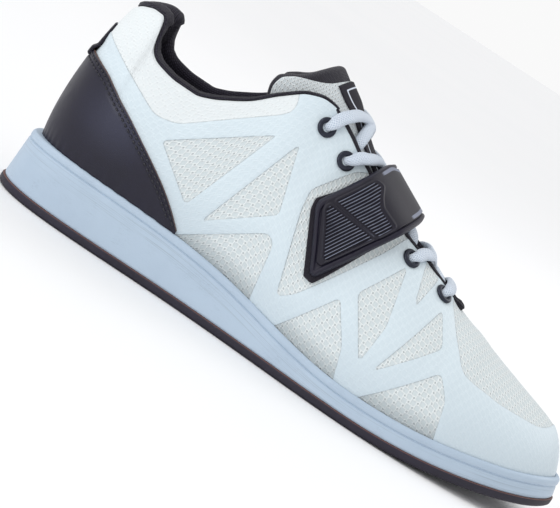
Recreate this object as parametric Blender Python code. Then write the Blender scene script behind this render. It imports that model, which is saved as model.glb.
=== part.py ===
"""Weightlifting shoe, right foot, as an assembly of separate closed pieces.

Lengths in the tables are millimetres in the shoe's own frame: x runs from the heel (0) to the toe,
y is positive on the medial side, z is the height over the ground. The finished shoe is moved so that
the bottom centre of its box is the origin, and is built in metres.

An angle called turn goes round the foot: 0 is the back of the heel, pi the tip of the toe, the lateral
side comes first and the medial side second. Each angle has one section of the upper, a cubic curve from
the feather line (t = 0) up to the collar, the throat or the crown of the toe (t = 1).
"""
import bmesh
import bpy
import numpy as np

MM = 0.001
LENGTH = 300.0
WALL = 2.0
GAP = 0.3
OUTSOLE_THICK = 4.3
SPRING_START = 192.0
SPRING_RADIUS = 460.0
RECESS = 4.5
FEATHER_DEPTH = 4.0
INSOLE_THICK = 4.0
EYELET_RADIUS = 4.75
EYELET_HOLE = 2.2
LACE_WIDTH = 6.0
LACE_THICK = 2.6
STRAP_THICK = 2.2
GROOVE_WIDTH = 2.4
GROOVE_DEPTH = 1.3
GROOVE_LEAN = 3.0


def columns(names, rows):
    """A short table as one named array for each column."""
    return dict(zip(names.split(), np.array(rows, dtype=float).T))


# The outsole's plan outline: how far it reaches to each side at a distance from the heel.
OUTLINE = columns("x lateral medial", [
    (0, 0, 0), (2, -11.5, 11.5), (5, -17.5, 17.5), (10, -23.5, 23), (20, -30, 29.5), (35, -34.2, 33.6),
    (55, -35.6, 34.8), (80, -35.6, 33.4), (105, -36.6, 31.6), (130, -39.6, 32), (155, -44, 35.5),
    (175, -47.4, 40.5), (195, -49.4, 45), (215, -49.2, 47.4), (235, -46.4, 47.6), (252, -41.4, 45),
    (267, -34.8, 40.6), (279, -27.6, 35.2), (288, -20, 28.4), (295, -11, 20), (300, 4.5, 4.5)])

# The upper's section: inset of its feather line from the outline, height of the sole's rim, and how far
# the two middle control points lie outwards and, as a share of the section's height, up or down.
SECTION = columns("x inset rim out_low rise_low out_high fall_high", [
    (0, 9.2, 28.9, 6.5, 0.23, 6.3, 0.24),
    (10, 7.8, 29.2, 5.5, 0.24, 6.0, 0.24),
    (25, 6.0, 29.3, 4.5, 0.26, 5.0, 0.25),
    (45, 5.2, 29.2, 4.0, 0.29, 4.0, 0.27),
    (85, 5.0, 27.8, 4.4, 0.30, 6.0, 0.27),
    (120, 5.0, 24.0, 5.8, 0.32, 12.5, 0.235),
    (145, 4.8, 19.3, 7.0, 0.32, 12.5, 0.18),
    (175, 4.7, 14.9, 8.2, 0.37, 15.0, 0.11),
    (200, 4.7, 14.2, 8.0, 0.40, 18.0, 0.06),
    (230, 4.6, 15.8, 7.0, 0.42, 22.0, 0.0),
    (255, 4.5, 18.9, 5.2, 0.40, 18.0, 0.0),
    (275, 4.4, 21.9, 3.5, 0.43, 13.0, 0.0),
    (288, 4.3, 24.5, 1.5, 0.40, 10.0, 0.0),
    (300, 4.3, 26.2, -1.0, 0.39, 6.0, 0.0)])

# The upper's top edge: the collar, then the throat, then the closed crown of the toe where half is 0.
EDGE = columns("x along half height", [
    (0, 12.1, 0, 102.4), (5, 14.2, 8.5, 104.2), (10, 17.5, 14, 105.9), (20, 23.1, 19.5, 107.5),
    (26, 26.6, 22, 107.5), (28.5, 28.7, 23, 105.8), (30, 29.7, 23.6, 102.4), (32, 31.2, 24.6, 95.2),
    (34, 33.0, 25.4, 91.2), (37, 36.0, 26.3, 88.9), (42, 41.0, 27.1, 87.3), (50, 49.0, 27.9, 86.0),
    (60, 59.0, 28.2, 85.9), (67, 66.0, 28.2, 88.0), (75, 74.0, 28, 92.2), (83, 82.1, 27.4, 97.3),
    (93, 92.0, 26.2, 106.3), (104, 102.8, 24.6, 114.0), (112, 110.4, 22.8, 116.0),
    (117, 115.3, 21.3, 115.5), (122, 119.9, 20.2, 113.6), (130, 128.2, 19.6, 109.3),
    (139, 137.0, 18.6, 103.6), (158, 155.5, 16.2, 93.6), (177, 174.3, 12.4, 84.0),
    (192, 189.1, 8.6, 78.8), (202, 198.9, 6.4, 74.9), (208, 204.6, 5, 72.5),
    (214, 209.8, 3.2, 70.0), (219, 213.4, 1.5, 68.4),
    (222, 215.5, 0, 67.5), (235, 226.5, 0, 63.7), (250, 239.8, 0, 59.2), (262, 250.4, 0, 55.7),
    (272, 259.0, 0, 53.0), (280, 265.6, 0, 51.0), (286, 270.6, 0, 49.5), (293, 276.2, 0, 47.7),
    (297.5, 279.5, 0, 46.4), (300, 280.9, 0, 45.8)])

# The heel counter's upper edge.
COUNTER = columns("x top", [
    (0, 75.5), (5, 75), (10, 74), (20, 71.5), (31, 66.5), (41, 61.3), (51, 55.5), (61, 49.5),
    (71, 43), (81, 34.8), (86, 29.9)])

# The padded collar: how thick it is, how far its roll stands over the edge and how deep it reaches.
LINING = columns("x thick roll depth", [
    (0, 9, 6.5, 32), (10, 9, 5.6, 31), (20, 8.5, 4.2, 29), (28, 8, 3.2, 26), (33, 6.5, 3, 20),
    (42, 5, 2.8, 18), (60, 4, 2.5, 18), (80, 2.6, 2.2, 16), (100, 1.6, 1.9, 14), (119, 1.2, 1.6, 12)])

# The tongue in the throat: the top of its middle at a section of the upper.
TONGUE = columns("x along height tuck", [
    (217, 212, 64.6, 2.8), (208, 204, 69.4, 2.8), (193, 190, 76.6, 2.8), (178, 175, 84, 2.8),
    (160, 158, 94.2, 2.8), (145, 143, 104, 2.8), (132, 130, 114.5, 3.4), (124, 123, 121.5, 4.6)])

# The tongue's free upper edge, from the hem inside the collar, round the wing and up to the middle.
WING = columns("share along half height", [
    (0, 88, 18.5, 94), (0.14, 86.5, 19.8, 101), (0.27, 84.8, 21, 108), (0.4, 86, 21.4, 113),
    (0.52, 90.5, 20.4, 116.8), (0.66, 96.5, 17.6, 121), (0.8, 101.5, 12.6, 126.6),
    (0.91, 105.2, 6, 131), (1, 106.8, 0, 132.6)])

# The strap across the foot: path is -1 at the medial rim, 0 at the crown and 1 near the lateral rim.
STRAP = columns("path rear front", [
    (-0.98, 145, 174), (-0.5, 149, 176.5), (0, 152.5, 179.3), (0.15, 150, 178.4), (0.4, 141.5, 173.6),
    (0.55, 135.6, 167.3), (0.63, 134.6, 164.6), (0.75, 142.3, 159), (0.86, 149.4, 153)])

# The soft patch under the strap's free end, by share of the section's curve.
PATCH = columns("t rear front", [
    (0.352, 148.8, 153), (0.47, 141, 161), (0.594, 132.8, 167), (0.66, 133.6, 171), (0.74, 137.5, 176)])

# Eyelets: section and distance from the upper's edge.
EYELETS = columns("x setback", [(119.5, 9.8), (135.1, 9.6), (159.7, 9.4), (185.1, 9.4), (206.5, 9.2)])

# Grooves under the heel and under the ball of the foot.
GROOVES = (24.0, 38.0, 52.0, 66.0, 168.0, 184.0, 200.0, 216.0, 232.0, 248.0)

# Distances from the heel at which the solids have a section.
STATIONS = np.array([0, 1.2, 4, 8, 13, 19, 24, 27, 29, 31, 33, 36, 41, 48, 57, 67, 77, 87, 97, 107, 116,
                     125, 136, 147, 158, 169, 180, 190, 199, 207, 214, 219, 222, 229, 238, 247, 256,
                     264, 271, 278, 284, 289, 293, 296.5, 299.2, 300], dtype=float)


def turn_of(x):
    """The lateral side's angle at a distance from the heel: x = LENGTH (1 - cos turn) / 2."""
    return np.arccos(np.clip(1.0 - 2.0 * np.asarray(x, dtype=float) / LENGTH, -1.0, 1.0))


def station_turns():
    """All angles of the solids' sections, lateral side first, each one mirrored on the medial side."""
    side = turn_of(STATIONS)
    return np.concatenate([side, 2.0 * np.pi - side[-2:0:-1]])


def loop_spline(angles, values):
    """Periodic cubic spline with continuous curvature through values at angles in [0, 2 pi)."""
    count = len(angles)
    step = np.diff(np.append(angles, angles[0] + 2.0 * np.pi))
    rate = (np.roll(values, -1) - values) / step
    before = np.roll(step, 1)
    system = np.zeros((count, count))
    for i in range(count):
        system[i, i - 1] += step[i]
        system[i, i] += 2.0 * (before[i] + step[i])
        system[i, (i + 1) % count] += before[i]
    slope = np.linalg.solve(system, 3.0 * (step * np.roll(rate, 1) + before * rate))
    knots = np.append(angles, angles[0] + 2.0 * np.pi)
    return hermite(knots, np.append(values, values[0]), np.append(slope, slope[0]), 2.0 * np.pi)


def hermite(knots, values, slopes, period=None):
    """Cubic pieces through values with given slopes, as a function that takes arrays."""
    def at(q):
        q = np.asarray(q, dtype=float)
        if period is not None:
            q = np.mod(q - knots[0], period) + knots[0]
        i = np.clip(np.searchsorted(knots, q, side="right") - 1, 0, len(knots) - 2)
        h = knots[i + 1] - knots[i]
        u = (q - knots[i]) / h
        bend = u * u * (3.0 - 2.0 * u)
        lean = h * u * (1.0 - u)
        return (values[i] * (1.0 - bend) + values[i + 1] * bend
                + lean * ((1.0 - u) * slopes[i] - u * slopes[i + 1]))
    return at


def steady_curve(knots, values):
    """Cubic pieces that never overshoot: the slope is the harmonic mean of its neighbours, or 0 at a peak."""
    knots = np.asarray(knots, dtype=float)
    values = np.asarray(values, dtype=float)
    h = np.diff(knots)
    rate = np.diff(values) / h
    slope = np.zeros_like(values)
    same = rate[:-1] * rate[1:] > 0.0
    heavy = 2.0 * h[1:] + h[:-1]
    light = h[1:] + 2.0 * h[:-1]
    safe = np.where(same, rate[:-1], 1.0), np.where(same, rate[1:], 1.0)
    slope[1:-1] = np.where(same, (heavy + light) / (heavy / safe[0] + light / safe[1]), 0.0)
    slope[0] = rate[0]
    slope[-1] = rate[-1]
    return hermite(knots, values, slope)


def both_sides(table, name):
    """A column that is the same on both sides, as a smooth periodic function of the angle."""
    side = turn_of(table["x"])
    values = table[name]
    angles = np.concatenate([side, 2.0 * np.pi - side[-2:0:-1]])
    return loop_spline(angles, np.concatenate([values, values[-2:0:-1]]))


def edge_column(name, mirror):
    """A column of the top edge against the angle, carried past heel and toe as mirror times itself."""
    side = turn_of(EDGE["x"])
    values = EDGE[name]
    knots = np.concatenate([-side[2:0:-1], side, 2.0 * np.pi - side[-2:-4:-1]])
    column = steady_curve(knots, np.concatenate([mirror * values[2:0:-1], values, values[-2:-4:-1]]))
    return lambda turn: column(np.where(turn > np.pi, 2.0 * np.pi - turn, turn))


SIDE_ANGLES = turn_of(OUTLINE["x"])
OUTLINE_Y = loop_spline(np.concatenate([SIDE_ANGLES, 2.0 * np.pi - SIDE_ANGLES[-2:0:-1]]),
                        np.concatenate([OUTLINE["lateral"], OUTLINE["medial"][-2:0:-1]]))
SHAPE = {name: both_sides(SECTION, name) for name in SECTION if name != "x"}
EDGE_ALONG = edge_column("along", 1.0)
EDGE_HALF = edge_column("half", -1.0)
EDGE_HEIGHT = edge_column("height", 1.0)


def wrap(turn):
    """An angle brought into [0, 2 pi)."""
    return np.mod(np.asarray(turn, dtype=float), 2.0 * np.pi)


def smoothstep(q, low, high):
    """0 below low, 1 above high, and 3u^2 - 2u^3 between."""
    u = np.clip((q - low) / (high - low), 0.0, 1.0)
    return u * u * (3.0 - 2.0 * u)


def unit(vectors):
    """Vectors scaled to length one."""
    return vectors / np.linalg.norm(vectors, axis=-1, keepdims=True)


def ground(x):
    """Height of the outsole's bottom: flat, then an arc of SPRING_RADIUS up to the toe."""
    return np.maximum(x - SPRING_START, 0.0) ** 2 / (2.0 * SPRING_RADIUS)


def centre_line(x):
    """The foot's middle, which turns to the medial side towards the toe."""
    return 4.5 * smoothstep(x, 120.0, 285.0)


def outline(turn, inset=0.0):
    """The sole's plan outline moved inwards along its normal, as x and y."""
    turn = wrap(turn)
    eps = 1e-4
    x = LENGTH * (1.0 - np.cos(turn)) / 2.0
    y = OUTLINE_Y(turn)
    dx = LENGTH * np.sin(turn) / 2.0
    dy = (OUTLINE_Y(turn + eps) - OUTLINE_Y(turn - eps)) / (2.0 * eps)
    size = np.hypot(dx, dy)
    normal_x = dy / size
    normal_y = -dx / size
    return x - normal_x * inset, y - normal_y * inset, normal_x, normal_y


def edge_point(turn):
    """A point of the upper's top edge: collar, throat or crown."""
    turn = wrap(turn)
    along = EDGE_ALONG(turn)
    side = np.where(turn > np.pi, 1.0, -1.0)
    return np.stack([along, centre_line(along) + side * EDGE_HALF(turn), EDGE_HEIGHT(turn)], axis=-1)


def upper_controls(turn):
    """The four control points of the upper's section at an angle."""
    turn = wrap(turn)
    rim = SHAPE["rim"](turn)
    x, y, nx, ny = outline(turn, SHAPE["inset"](turn))
    low = np.stack([x, y, rim - FEATHER_DEPTH], axis=-1)
    top = edge_point(turn)
    height = top[..., 2] - low[..., 2]
    eps = 1e-3
    ahead = edge_point(np.minimum(np.where(turn > np.pi, 2.0 * np.pi - turn, turn) + eps, np.pi))
    behind = edge_point(np.where(turn > np.pi, 2.0 * np.pi - turn, turn) - 2.0 * eps)
    slope = (ahead[..., 2] - behind[..., 2]) / np.maximum(ahead[..., 0] - behind[..., 0], 1e-6)
    closed = smoothstep(top[..., 0], 200.0, 217.0)
    out_low = SHAPE["out_low"](turn)
    out_high = SHAPE["out_high"](turn)
    lift_low = SHAPE["rise_low"](turn) * height
    drop = SHAPE["fall_high"](turn) * height - closed * slope * nx * out_high
    second = low + np.stack([nx * out_low, ny * out_low, lift_low], axis=-1)
    third = top + np.stack([nx * out_high, ny * out_high, -drop], axis=-1)
    return low, second, third, top


def upper_point(turn, t):
    """The upper's outer surface: the cubic curve of the angle's section at t."""
    turn, t = np.broadcast_arrays(np.asarray(turn, dtype=float), np.asarray(t, dtype=float))
    a, b, c, d = upper_controls(turn)
    t = t[..., None]
    s = 1.0 - t
    return s ** 3 * a + 3.0 * s * s * t * b + 3.0 * s * t * t * c + t ** 3 * d


def upper_normal(turn, t):
    """The outward normal of the upper's surface, by differences."""
    eps = 1e-4
    t = np.minimum(t, 0.985)
    along = upper_point(turn + eps, t) - upper_point(turn - eps, t)
    across = upper_point(turn, t + eps) - upper_point(turn, t - eps)
    return unit(np.cross(along, across))


def upper_skin(turn, t, lift):
    """A point at a distance from the upper's outer surface, outwards when lift is positive."""
    turn, t, lift = np.broadcast_arrays(*(np.asarray(q, dtype=float) for q in (turn, t, lift)))
    normal = upper_normal(turn, t)
    mirrored = upper_normal(2.0 * np.pi - turn, t)
    joined = (t > 0.999) & (EDGE_HALF(wrap(turn)) < 1e-6)
    normal = np.where(joined[..., None], unit(normal + mirrored), normal)
    return upper_point(turn, t) + normal * lift[..., None]


def t_at_height(turn, height):
    """The t at which a section reaches a height."""
    samples = np.linspace(0.0, 1.0, 61)
    turn = np.atleast_1d(turn)
    height = np.broadcast_to(height, turn.shape)
    z = upper_point(turn[:, None], samples[None, :])[..., 2]
    return np.array([np.interp(h, row, samples) for h, row in zip(height, z)])


def material(name, colour, roughness, metallic=0.0):
    """A Principled material with a plain colour."""
    made = bpy.data.materials.new(name)
    made.use_nodes = True
    shader = made.node_tree.nodes["Principled BSDF"]
    shader.inputs["Base Color"].default_value = (*colour, 1.0)
    shader.inputs["Roughness"].default_value = roughness
    shader.inputs["Metallic"].default_value = metallic
    made.diffuse_color = (*colour, 1.0)
    return made


def add_object(name, points, faces, finish, weld=False):
    """A mesh object from points in millimetres and index faces, facing outwards."""
    mesh = bpy.data.meshes.new(name)
    mesh.from_pydata((np.asarray(points) * MM).tolist(), [], faces)
    work = bmesh.new()
    work.from_mesh(mesh)
    if weld:
        bmesh.ops.remove_doubles(work, verts=work.verts, dist=2e-6)
    bmesh.ops.recalc_face_normals(work, faces=work.faces)
    work.to_mesh(mesh)
    work.free()
    mesh.shade_smooth()
    mesh.set_sharp_from_angle(angle=np.radians(40.0))
    made = bpy.data.objects.new(name, mesh)
    made.data.materials.append(finish)
    bpy.context.scene.collection.objects.link(made)
    return made


def grid_faces(rows, cols, first=0, wrap_rows=False, flip=False):
    """Quads of a grid whose points are stored row by row."""
    faces = []
    for i in range(rows if wrap_rows else rows - 1):
        for j in range(cols - 1):
            k = (i + 1) % rows
            quad = [first + i * cols + j, first + k * cols + j,
                    first + k * cols + j + 1, first + i * cols + j + 1]
            faces.append(quad[::-1] if flip else quad)
    return faces


def add_slab(name, outer, inner, finish, closed=False, open_top=None):
    """A solid between two grids of the same size, with rims along their edges.

    closed joins the last row to the first; open_top says for each row whether its top gets a rim.
    """
    rows, cols = outer.shape[:2]
    size = rows * cols
    faces = grid_faces(rows, cols, 0, closed) + grid_faces(rows, cols, size, closed, True)
    for i in range(rows if closed else rows - 1):
        k = (i + 1) % rows
        low = (i * cols, k * cols)
        faces.append([low[0], size + low[0], size + low[1], low[1]])
        if open_top is None or open_top[i] or open_top[k]:
            top = (low[0] + cols - 1, low[1] + cols - 1)
            faces.append([top[0], top[1], size + top[1], size + top[0]])
    if not closed:
        for row in (0, rows - 1):
            for j in range(cols - 1):
                a = row * cols + j
                faces.append([a, a + 1, size + a + 1, size + a])
    points = np.concatenate([outer.reshape(-1, 3), inner.reshape(-1, 3)])
    return add_object(name, points, faces, finish, weld=open_top is not None)


def add_stack(name, rings, finish, across=2):
    """A solid of rings round the foot, from its bottom cap up its side to its top cap.

    Each cap joins a ring's lateral and medial points at the same distance with strips of quads.
    """
    count = len(rings[0])
    half = count // 2
    points = [np.asarray(ring) for ring in rings]
    faces = []
    for level in range(len(rings) - 1):
        for i in range(count):
            k = (i + 1) % count
            faces.append([level * count + i, level * count + k,
                          (level + 1) * count + k, (level + 1) * count + i])
    first = len(rings) * count
    for level in (0, len(rings) - 1):
        ring = points[level]
        rows = []
        for i in range(1, half):
            a, b = ring[i], ring[count - i]
            inner = [a + (b - a) * j / across for j in range(1, across)]
            rows.append([level * count + i, *range(first, first + across - 1), level * count + count - i])
            points.append(np.array(inner))
            first += across - 1
        for low, high in zip(rows[:-1], rows[1:]):
            faces += [[low[j], high[j], high[j + 1], low[j + 1]] for j in range(across)]
        for tip, row in ((level * count, rows[0]), (level * count + half, rows[-1])):
            faces += [[tip, row[j], row[j + 1]] for j in range(across)]
    return add_object(name, np.concatenate(points), faces, finish)


def sole_ring(inset, height):
    """A ring of the sole at an inset from the outline; height is a function of x and the angle."""
    turn = station_turns()
    x, y, _, _ = outline(turn, inset)
    return np.stack([x, y, height(x, turn)], axis=-1)


def rim_height(x, turn):
    """Height of the sole's upper rim."""
    return SHAPE["rim"](turn)


def make_outsole(finish):
    """Rubber sheet with a chamfered lower edge that follows the toe spring, grooved underneath."""
    rings = [sole_ring(1.2, lambda x, a: ground(x)),
             sole_ring(0.3, lambda x, a: ground(x) + 1.0),
             sole_ring(0.0, lambda x, a: ground(x) + 3.4),
             sole_ring(0.4, lambda x, a: ground(x) + OUTSOLE_THICK)]
    return add_stack("outsole", rings, finish)


def make_midsole(finish):
    """Wedge with a plain wall, a groove, a lip and a ledge, and a recess that takes the upper."""
    turn = station_turns()
    rim = SHAPE["rim"](turn)
    ledge = upper_skin(turn, t_at_height(turn, rim), 0.35)
    ledge[:, 2] = rim
    floor = upper_skin(turn, 0.0, 0.35)
    floor[:, 2] = rim - RECESS
    rings = [sole_ring(1.0, lambda x, a: ground(x) + OUTSOLE_THICK + GAP),
             sole_ring(1.9, lambda x, a: SHAPE["rim"](a) - 4.4),
             sole_ring(2.6, lambda x, a: SHAPE["rim"](a) - 3.9),
             sole_ring(1.9, lambda x, a: SHAPE["rim"](a) - 3.3),
             sole_ring(2.1, lambda x, a: SHAPE["rim"](a) - 0.8),
             sole_ring(2.8, rim_height),
             ledge, floor]
    return add_stack("midsole", rings, finish)


def make_insole(finish):
    """Sock liner that fills the inside of the upper at its feather line."""
    turn = station_turns()
    floor = SHAPE["rim"](turn) - RECESS
    low = upper_skin(turn, 0.0, -(WALL + 1.0))
    low[:, 2] = floor + GAP
    high = upper_skin(turn, t_at_height(turn, floor + INSOLE_THICK), -(WALL + 0.6))
    high[:, 2] = floor + GAP + INSOLE_THICK
    return add_stack("insole", [low, high], finish)


def make_upper(finish):
    """The hollow upper: outer surface, inner surface a wall's thickness in, open above and below."""
    turn = station_turns()[:, None]
    t = np.array([0.0, 0.12, 0.26, 0.41, 0.56, 0.71, 0.86, 1.0])[None, :]
    outer = upper_skin(turn, t, 0.0)
    inner = upper_skin(turn, t, -WALL)
    is_open = EDGE_HALF(turn[:, 0]) > 1e-6
    return add_slab("upper", outer, inner, finish, closed=True, open_top=is_open)


def side_turns(limit, first=0.0):
    """Angles of the sections between two distances from the heel, on the lateral side."""
    inside = STATIONS[(STATIONS > first) & (STATIONS < limit)]
    return turn_of(np.concatenate([[first], inside, [limit]]))


def around_heel(limit):
    """Angles from the medial side round the heel to the lateral side, both at the same distance."""
    side = side_turns(limit)
    return np.concatenate([-side[:0:-1], side])


def x_of(turn):
    """Distance from the heel of an angle's place on the outline."""
    return LENGTH * (1.0 - np.cos(turn)) / 2.0


def make_heel_counter(finish):
    """Moulded shell round the heel, which stands on the ledge and falls away towards the arch."""
    turn = around_heel(COUNTER["x"][-1])
    top = steady_curve(COUNTER["x"], COUNTER["top"])(x_of(turn))
    t_low = t_at_height(turn, SHAPE["rim"](wrap(turn)) + 1.0)
    t_high = t_at_height(turn, top)
    share = np.linspace(0.0, 1.0, 5)
    t = t_low[:, None] + (t_high - t_low)[:, None] * share
    outer = upper_skin(turn[:, None], t, GAP + 1.2)
    inner = upper_skin(turn[:, None], t, GAP)
    return add_slab("heel_counter", outer, inner, finish)


def make_heel_tab(finish):
    """Webbing strip up the back of the heel, above the counter."""
    half_turn = turn_of(1.9)
    turn = np.linspace(-half_turn, half_turn, 7)
    t_low = t_at_height(turn, 76.0)
    t_high = t_at_height(turn, 91.0)
    t = t_low[:, None] + (t_high - t_low)[:, None] * np.linspace(0.0, 1.0, 5)
    outer = upper_skin(turn[:, None], t, GAP + 1.0)
    inner = upper_skin(turn[:, None], t, GAP)
    return add_slab("heel_tab", outer, inner, finish)


def collar_point(turn, inward, along):
    """A point inside the upper's edge: inward from its outer face, and along its wall past the edge."""
    turn, inward, along = np.broadcast_arrays(turn, inward, along)
    eps = 2e-3
    height = 1.05 * (edge_point(turn)[..., 2] - SHAPE["rim"](wrap(turn)) + FEATHER_DEPTH)
    t = np.minimum(1.0 + along / height, 1.0)
    run = edge_point(turn + eps) - edge_point(turn - eps)
    past = unit(np.cross(upper_normal(turn, 1.0), run))
    return upper_skin(turn, t, -inward) + past * np.maximum(along, 0.0)[..., None]


def make_collar_lining(finish):
    """Padded ring inside the collar that rolls over the upper's edge, thick at the heel."""
    turn = around_heel(LINING["x"][-1])
    x = x_of(turn)
    thick, roll, depth = (steady_curve(LINING["x"], LINING[name])(x) for name in ("thick", "roll", "depth"))
    back = WALL + 0.7
    face = back + thick
    zero = np.zeros_like(x)
    profile = [(back + zero, -depth), (back + zero, -depth / 2.0), (back + 0.1 + zero, 0.6 + zero),
               (0.3 + zero, 0.6 + zero), (0.1 + zero, 0.6 + 0.35 * roll), (0.3 * face, 0.4 + 0.85 * roll),
               (0.62 * face, 0.4 + roll), (0.92 * face, 0.5 * roll), (face, -0.15 * depth),
               (back + 0.8 * thick, -0.6 * depth), (back + 0.3 * thick + 0.5, -depth)]
    loops = np.stack([collar_point(turn, inward, along) for inward, along in profile], axis=1)
    count, size = loops.shape[:2]
    faces = []
    for i in range(count - 1):
        for j in range(size):
            k = (j + 1) % size
            faces.append([i * size + j, i * size + k, (i + 1) * size + k, (i + 1) * size + j])
    faces.append(list(range(size)))
    faces.append(list(range((count - 1) * size, count * size)))
    return add_object("collar_lining", loops.reshape(-1, 3), faces, finish)


def grid_normals(grid):
    """Unit normals of a grid of points, from its two directions."""
    along = np.gradient(grid, axis=0)
    across = np.gradient(grid, axis=1)
    return unit(np.cross(along, across))


def mirrored_curve(knots, points, q):
    """A curve through half a section's points and their mirror image, read at q in [0, 2]."""
    knots = np.asarray(knots, dtype=float)
    both = np.concatenate([knots, 2.0 - knots[-2::-1]])
    middle = points[-1][1]
    flip = [(p[0], 2.0 * middle - p[1], p[2]) for p in points[-2::-1]]
    every = np.array(list(points) + flip)
    return np.stack([steady_curve(both, every[:, axis])(q) for axis in range(3)], axis=-1)


def tongue_section(x, q):
    """The tongue's outer face across one section of the throat; q is 0 and 2 at its hems, 1 in the middle."""
    along, height, tuck = (np.interp(x, TONGUE["x"][::-1], TONGUE[name][::-1])
                           for name in ("along", "height", "tuck"))
    turn = turn_of(x)
    hem = upper_skin(turn, 0.90, -tuck)
    knee = upper_skin(turn, 1.0, -tuck)
    middle = np.array([along, centre_line(along), height])
    return mirrored_curve([0.0, 0.33, 1.0], [hem, knee, middle], q)


def tongue_above(x, q, lift):
    """A point over the tongue in the throat, a distance along its normal."""
    across = tongue_section(x, q + 0.02) - tongue_section(x, q - 0.02)
    along = tongue_section(x + 1.0, q) - tongue_section(x - 1.0, q)
    normal = unit(np.cross(along, across))
    if normal[2] < 0.0:
        normal = -normal
    return tongue_section(x, q) + normal * lift


def tongue_grid(across=13):
    """The tongue's outer face: rows from its toe end up the throat, then out to the winged top edge."""
    q = np.linspace(0.0, 2.0, across)
    rows = [tongue_section(x, q) for x in TONGUE["x"]]
    wing = [(a, centre_line(a) - h, z) for a, h, z in zip(WING["along"], WING["half"], WING["height"])]
    top = mirrored_curve(WING["share"], wing, q)
    last = rows[-1]
    for share in (0.25, 0.5, 0.75, 1.0):
        rows.append(last + (top - last) * share)
    return np.array(rows)


def make_tongue(finish):
    """Padded tongue: thin at its hem and toe end, thicker in the middle and at the rolled top."""
    outer = tongue_grid()
    rows, across = outer.shape[:2]
    middle = 1.0 - np.abs(np.linspace(-1.0, 1.0, across))
    length = np.linspace(0.0, 1.0, rows)
    thick = 1.6 + 2.6 * smoothstep(middle, 0.0, 0.5)[None, :] * smoothstep(length, 0.0, 0.4)[:, None]
    thick = thick + 2.4 * smoothstep(length, 0.8, 1.0)[:, None] * smoothstep(middle, 0.1, 0.6)[None, :]
    normal = grid_normals(outer)
    if normal[3, across // 2, 2] < 0.0:
        normal = -normal
    inner = outer - normal * thick[..., None]
    return add_slab("tongue", outer, inner, finish)


def eyelet_turn_t(x, setback, side):
    """Where an eyelet sits: the section's angle and the t at its setback from the edge."""
    turn = turn_of(x)
    samples = np.linspace(0.5, 1.0, 101)
    curve = upper_point(turn, samples)
    steps = np.linalg.norm(np.diff(curve, axis=0), axis=1)
    left = np.concatenate([np.cumsum(steps[::-1])[::-1], [0.0]])
    t = np.interp(-setback, -left, samples)
    return (turn if side < 0 else 2.0 * np.pi - turn), t


def make_eyelet(name, turn, t, finish, segments=10):
    """A flat metal ring on the upper, turned square to its surface."""
    centre = upper_skin(turn, t, 0.65)
    axis = upper_normal(turn, t)
    first = unit(np.cross(axis, (0.0, 0.0, 1.0)))
    second = np.cross(axis, first)
    angle = np.linspace(0.0, 2.0 * np.pi, segments, endpoint=False)
    ray = np.cos(angle)[:, None] * first + np.sin(angle)[:, None] * second
    profile = ((EYELET_HOLE, 0.0), (EYELET_RADIUS, 0.0), (EYELET_RADIUS - 0.8, 0.9), (EYELET_HOLE + 0.3, 0.9))
    rings = np.stack([centre + ray * radius + axis * rise for radius, rise in profile], axis=1)
    size = len(profile)
    faces = []
    for i in range(segments):
        k = (i + 1) % segments
        for j in range(size):
            m = (j + 1) % size
            faces.append([i * size + j, k * size + j, k * size + m, i * size + m])
    return add_object(name, rings.reshape(-1, 3), faces, finish)


def strap_path(turn):
    """Knots, points and normals of the strap's underside across one section, medial rim to lateral rim."""
    knots = np.array([-1.0, -0.85, -0.7, -0.55, -0.4, 0.0, 0.4, 0.55, 0.7, 0.85, 1.0])
    t = np.array([0.15, 0.38, 0.52, 0.68, 0.84])
    lateral_lift = np.array([1.5, 1.5, 1.6, 2.8, 6.0])
    medial_lift = np.array([1.0, 1.1, 1.2, 2.6, 6.0])
    medial = upper_skin(2.0 * np.pi - turn, t, medial_lift)
    lateral = upper_skin(turn, t, lateral_lift)
    along = EDGE_ALONG(turn)
    crown = np.array([along, centre_line(along), 104.9 - 0.513 * (along - 149.6)])
    return knots, np.concatenate([medial, crown[None, :], lateral[::-1]])


def strap_surface(path, x, lift):
    """A point of the strap's underside moved outwards by lift, at a place along the strap and a section."""
    eps = 1e-3

    def under(q, station):
        knots, points = strap_path(turn_of(station))
        return np.array([steady_curve(knots, points[:, axis])(q) for axis in range(3)])

    across = under(path + eps, x) - under(path - eps, x)
    along = under(path, x + 0.5) - under(path, x - 0.5)
    normal = np.cross(across, along)
    normal = normal / np.linalg.norm(normal)
    return under(path, x) + normal * lift


def strap_edges(path, inset=0.0):
    """The strap's rear and front sections at a place along it, both moved inwards by inset."""
    rear = steady_curve(STRAP["path"], STRAP["rear"])(path)
    front = steady_curve(STRAP["path"], STRAP["front"])(path)
    middle = (rear + front) / 2.0
    half = np.maximum((front - rear) / 2.0 - inset, 0.6)
    return middle - half, middle + half


def strap_grid(paths, inset, lift, across):
    """Rows across the strap at the given places along it."""
    rows = []
    for path in paths:
        rear, front = strap_edges(path, inset)
        rows.append([strap_surface(path, x, lift) for x in np.linspace(rear, front, across)])
    return np.array(rows)


def make_strap(finish):
    """The band from the medial rim over the crown to its pointed lateral end."""
    paths = np.array([-0.97, -0.85, -0.7, -0.55, -0.4, -0.27, -0.13, 0.0, 0.13, 0.27, 0.4, 0.48,
                      0.55, 0.63, 0.7, 0.78, 0.86])
    outer = strap_grid(paths, 0.0, STRAP_THICK, 6)
    inner = strap_grid(paths, 0.0, 0.0, 6)
    return add_slab("strap", outer, inner, finish)


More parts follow.
